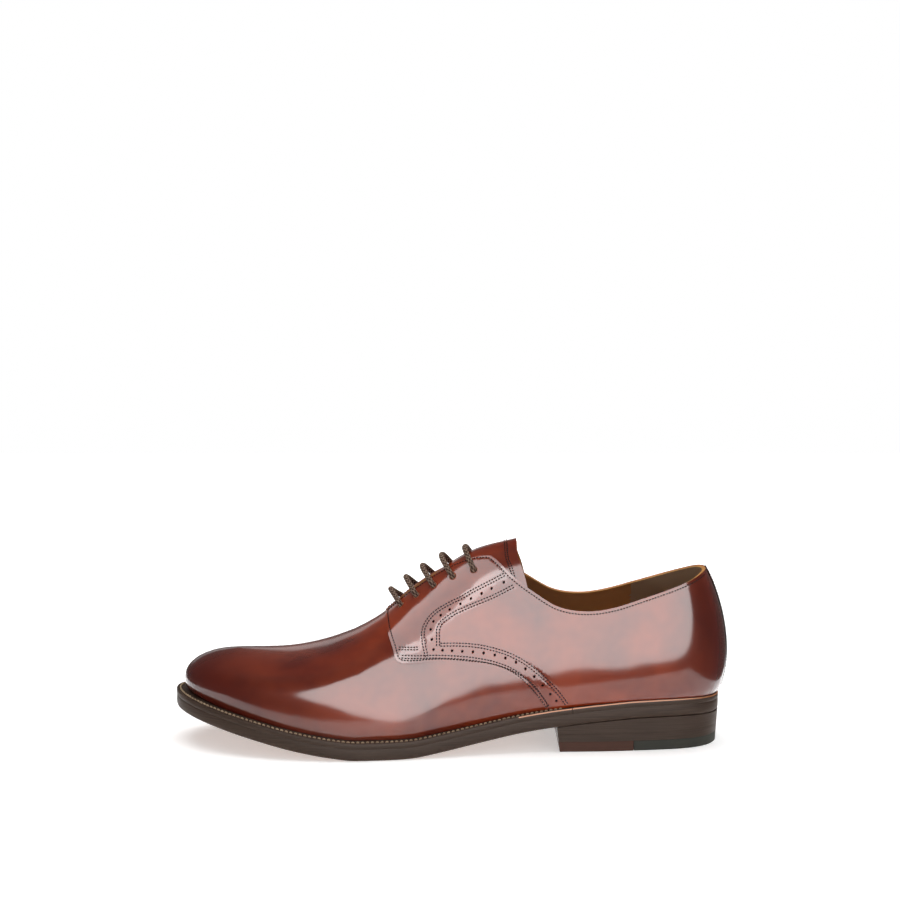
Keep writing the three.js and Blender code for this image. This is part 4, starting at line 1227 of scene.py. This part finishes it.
# Welt and heel rand: strips of dark leather round the edge between upper and sole. The welt runs round the
# forepart and waist and carries the sole's stitches on its top, in light thread.
def edge_strip(start, end, steps, profile):
    """A strip round the sole's edge. The profile is (mix from seat to edge, further out, height) rows."""
    turns = np.linspace(start, end, steps + 1)
    rows = []
    for mix, further, height in profile:
        plan = sole_plan(turns, further) * mix + (upper_plan(turns) - outward(turns) * welt_seat) * (1 - mix)
        rows.append(ring(plan, above(height)))
    count, size = steps + 1, len(rows)
    faces, kinds = [], []
    for level in range(size):
        a, b = level * count, (level + 1) % size * count
        faces += [(a + i, a + i + 1, b + i + 1, b + i) for i in range(steps)]
        # The row at highlight_level, behind highlight_end, gets the painted highlight.
        tan = level == highlight_level
        kinds += [1 if tan and rows[level][i, 0] < highlight_end else 0 for i in range(steps)]
    faces.append(tuple(level * count for level in range(size)))
    faces.append(tuple(level * count + steps for level in reversed(range(size))))
    return np.concatenate(rows), faces, kinds + [0, 0]


def turn_at(x):
    return math.acos(2 * (x - upper_middle) / upper_length)


welt_end = 83
# The row of the edge's profile that carries the painted highlight, and how far from the back it reaches.
highlight_level = 3
highlight_end = 112
strip_profile = [
    (0, 0, welt_under - 0.25), (1, -0.1, welt_under - 0.25), (1, 0.1, welt_under + 0.1),
    (1, 0.1, welt_top - 0.75), (1, -0.25, welt_top - 0.15), (1, -0.8, welt_top), (1, -1.5, welt_top - 0.02),
    (1, -2.0, welt_top - 0.3), (1, -2.6, welt_top - 0.02), (0, 0, welt_top),
]
points, faces, kinds = edge_strip(-turn_at(welt_end), turn_at(welt_end), 420, strip_profile)
welt = new_piece("welt", points, faces, [sole_leather, edge_highlight_paint], kinds)
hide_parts("welt")
rand_turn = turn_at(welt_end - seam)
points, faces, kinds = edge_strip(rand_turn, 2 * math.pi - rand_turn, 160, strip_profile)
rand = new_piece("heel_rand", points, faces, [sole_leather, edge_highlight_paint], kinds)
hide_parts("heel_rand")

# Lockstitches of the sole: thick waxed linen, cream gone tan, nearly four to the centimetre. They lie in a
# groove on top of the welt and hold it to the outsole.
welt_thread = new_material("cream_linen_thread")
welt_thread_shader = add(welt_thread, "ShaderNodeBsdfPrincipled", Base_Color=linear("#b39c80"),
                         Roughness=0.8, Specular_IOR_Level=0.1)
finish_material(welt_thread, welt_thread_shader)
welt_pitch = 2.6
fine = np.linspace(-turn_at(welt_end) + 0.02, turn_at(welt_end) - 0.02, 4000)
fine_line = ring(sole_plan(fine, -2.0), above(welt_top - 0.15))
fine_length = travelled(fine_line)
stitch_line = sampled(np.arange(0, fine_length[-1], welt_pitch), fine_length, fine_line)
upright = np.tile([0.0, 0.0, 1.0], (len(stitch_line), 1))
stitches("welt_stitches", [(stitch_line, upright)], 0.5, 0.72, welt_thread, "welt", 0.1)


# Heel: two lifts of sole leather over a top lift, glued and pegged, then trimmed and waxed as one block.
# The top lift is leather in front and rubber behind, where it wears.
heel_breast = 91.5
breast_lean = 2
heel_taper = 1.2
top_lift = 5.5
rubber_length = 49
lift_count = 2
glue = 0.04
bevel = 0.07


def heel_front(height):
    return heel_breast - breast_lean * (1 - height / heel_lift)


def heel_ring(front, back, height, inward):
    """A ring round a piece of the heel, between a front face and a back face or the round back."""
    front_at = front(height(front(heel_lift))) - inward
    sweep = np.linspace(turn_at(front_at), turn_at(back) if back > 0 else math.pi, 61)
    if back <= 0:
        sweep = (sweep[:-1] + sweep[1:]) / 2
        sweep[0] = turn_at(front_at)
    turns = np.concatenate([sweep, 2 * np.pi - sweep[::-1]])
    z = height(upper_plan(turns)[:, 0])
    plan = sole_plan(turns, -inward - heel_taper * (1 - z / heel_lift))
    half = len(sweep)
    plan[[0, -1], 0] = front_at
    if back > 0:
        plan[[half - 1, half], 0] = back + inward
    return ring(plan, height)


def heel_piece(name, front, back, lower, upper, material, slot):
    rings = [heel_ring(front, back, lower, bevel), heel_ring(front, back, lambda x: lower(x) + bevel, 0),
             heel_ring(front, back, lambda x: upper(x) - bevel, 0), heel_ring(front, back, upper, bevel)]
    points, faces = stack(rings)
    piece = new_piece(name, points, faces, [material], sharp=30)
    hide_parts(name)
    return piece


def level(height):
    return lambda x: np.full(np.shape(x), float(height))


lift_from = top_lift + seam
lift_rise = (underside_at(heel_breast) - lift_from) / lift_count
lift_joint = lift_from + lift_rise
lower_lift = level(top_lift + glue), level(lift_joint - glue)
upper_lift = level(lift_joint), above(-glue)
heel_piece("heel_lift_1", heel_front, 0, *lower_lift, sole_leather, "sole_leather")
heel_piece("heel_lift_2", heel_front, 0, *upper_lift, sole_leather, "sole_leather")
# Leather tip of the top lift: paler brown than the stack, as it is trimmed after the waxing.
tip_leather = new_material("brown_top_lift_leather")
tip_shader = add(tip_leather, "ShaderNodeBsdfPrincipled", Base_Color=linear("#40251a"),
                 Roughness=0.5, Specular_IOR_Level=0.1)
finish_material(tip_leather, tip_shader)
lift_height = level(0), level(top_lift)
heel_piece("top_lift_leather", heel_front, rubber_length + seam, *lift_height, tip_leather, "sole_leather")
# Rubber of the top lift: dark grey-green, matt, with a faint mottle.
lift_rubber = new_material("dark_heel_rubber")
rubber_here = add(lift_rubber, "ShaderNodeTexCoord").outputs["Object"]
rubber_grain = add(lift_rubber, "ShaderNodeTexNoise", [("Vector", rubber_here)], Scale=scale_of(0.833))
rubber_bump = add(lift_rubber, "ShaderNodeBump", [("Height", rubber_grain.outputs["Fac"])],
                  Strength=0.3, Distance=0.0001)
rubber_shader = add(lift_rubber, "ShaderNodeBsdfPrincipled", [("Normal", rubber_bump.outputs[0])],
                    Base_Color=linear("#30302a"), Roughness=0.7, Specular_IOR_Level=0.1)
finish_material(lift_rubber, rubber_shader)
heel_piece("top_lift_rubber", lambda height: rubber_length, 0, *lift_height, lift_rubber, "heel_rubber")
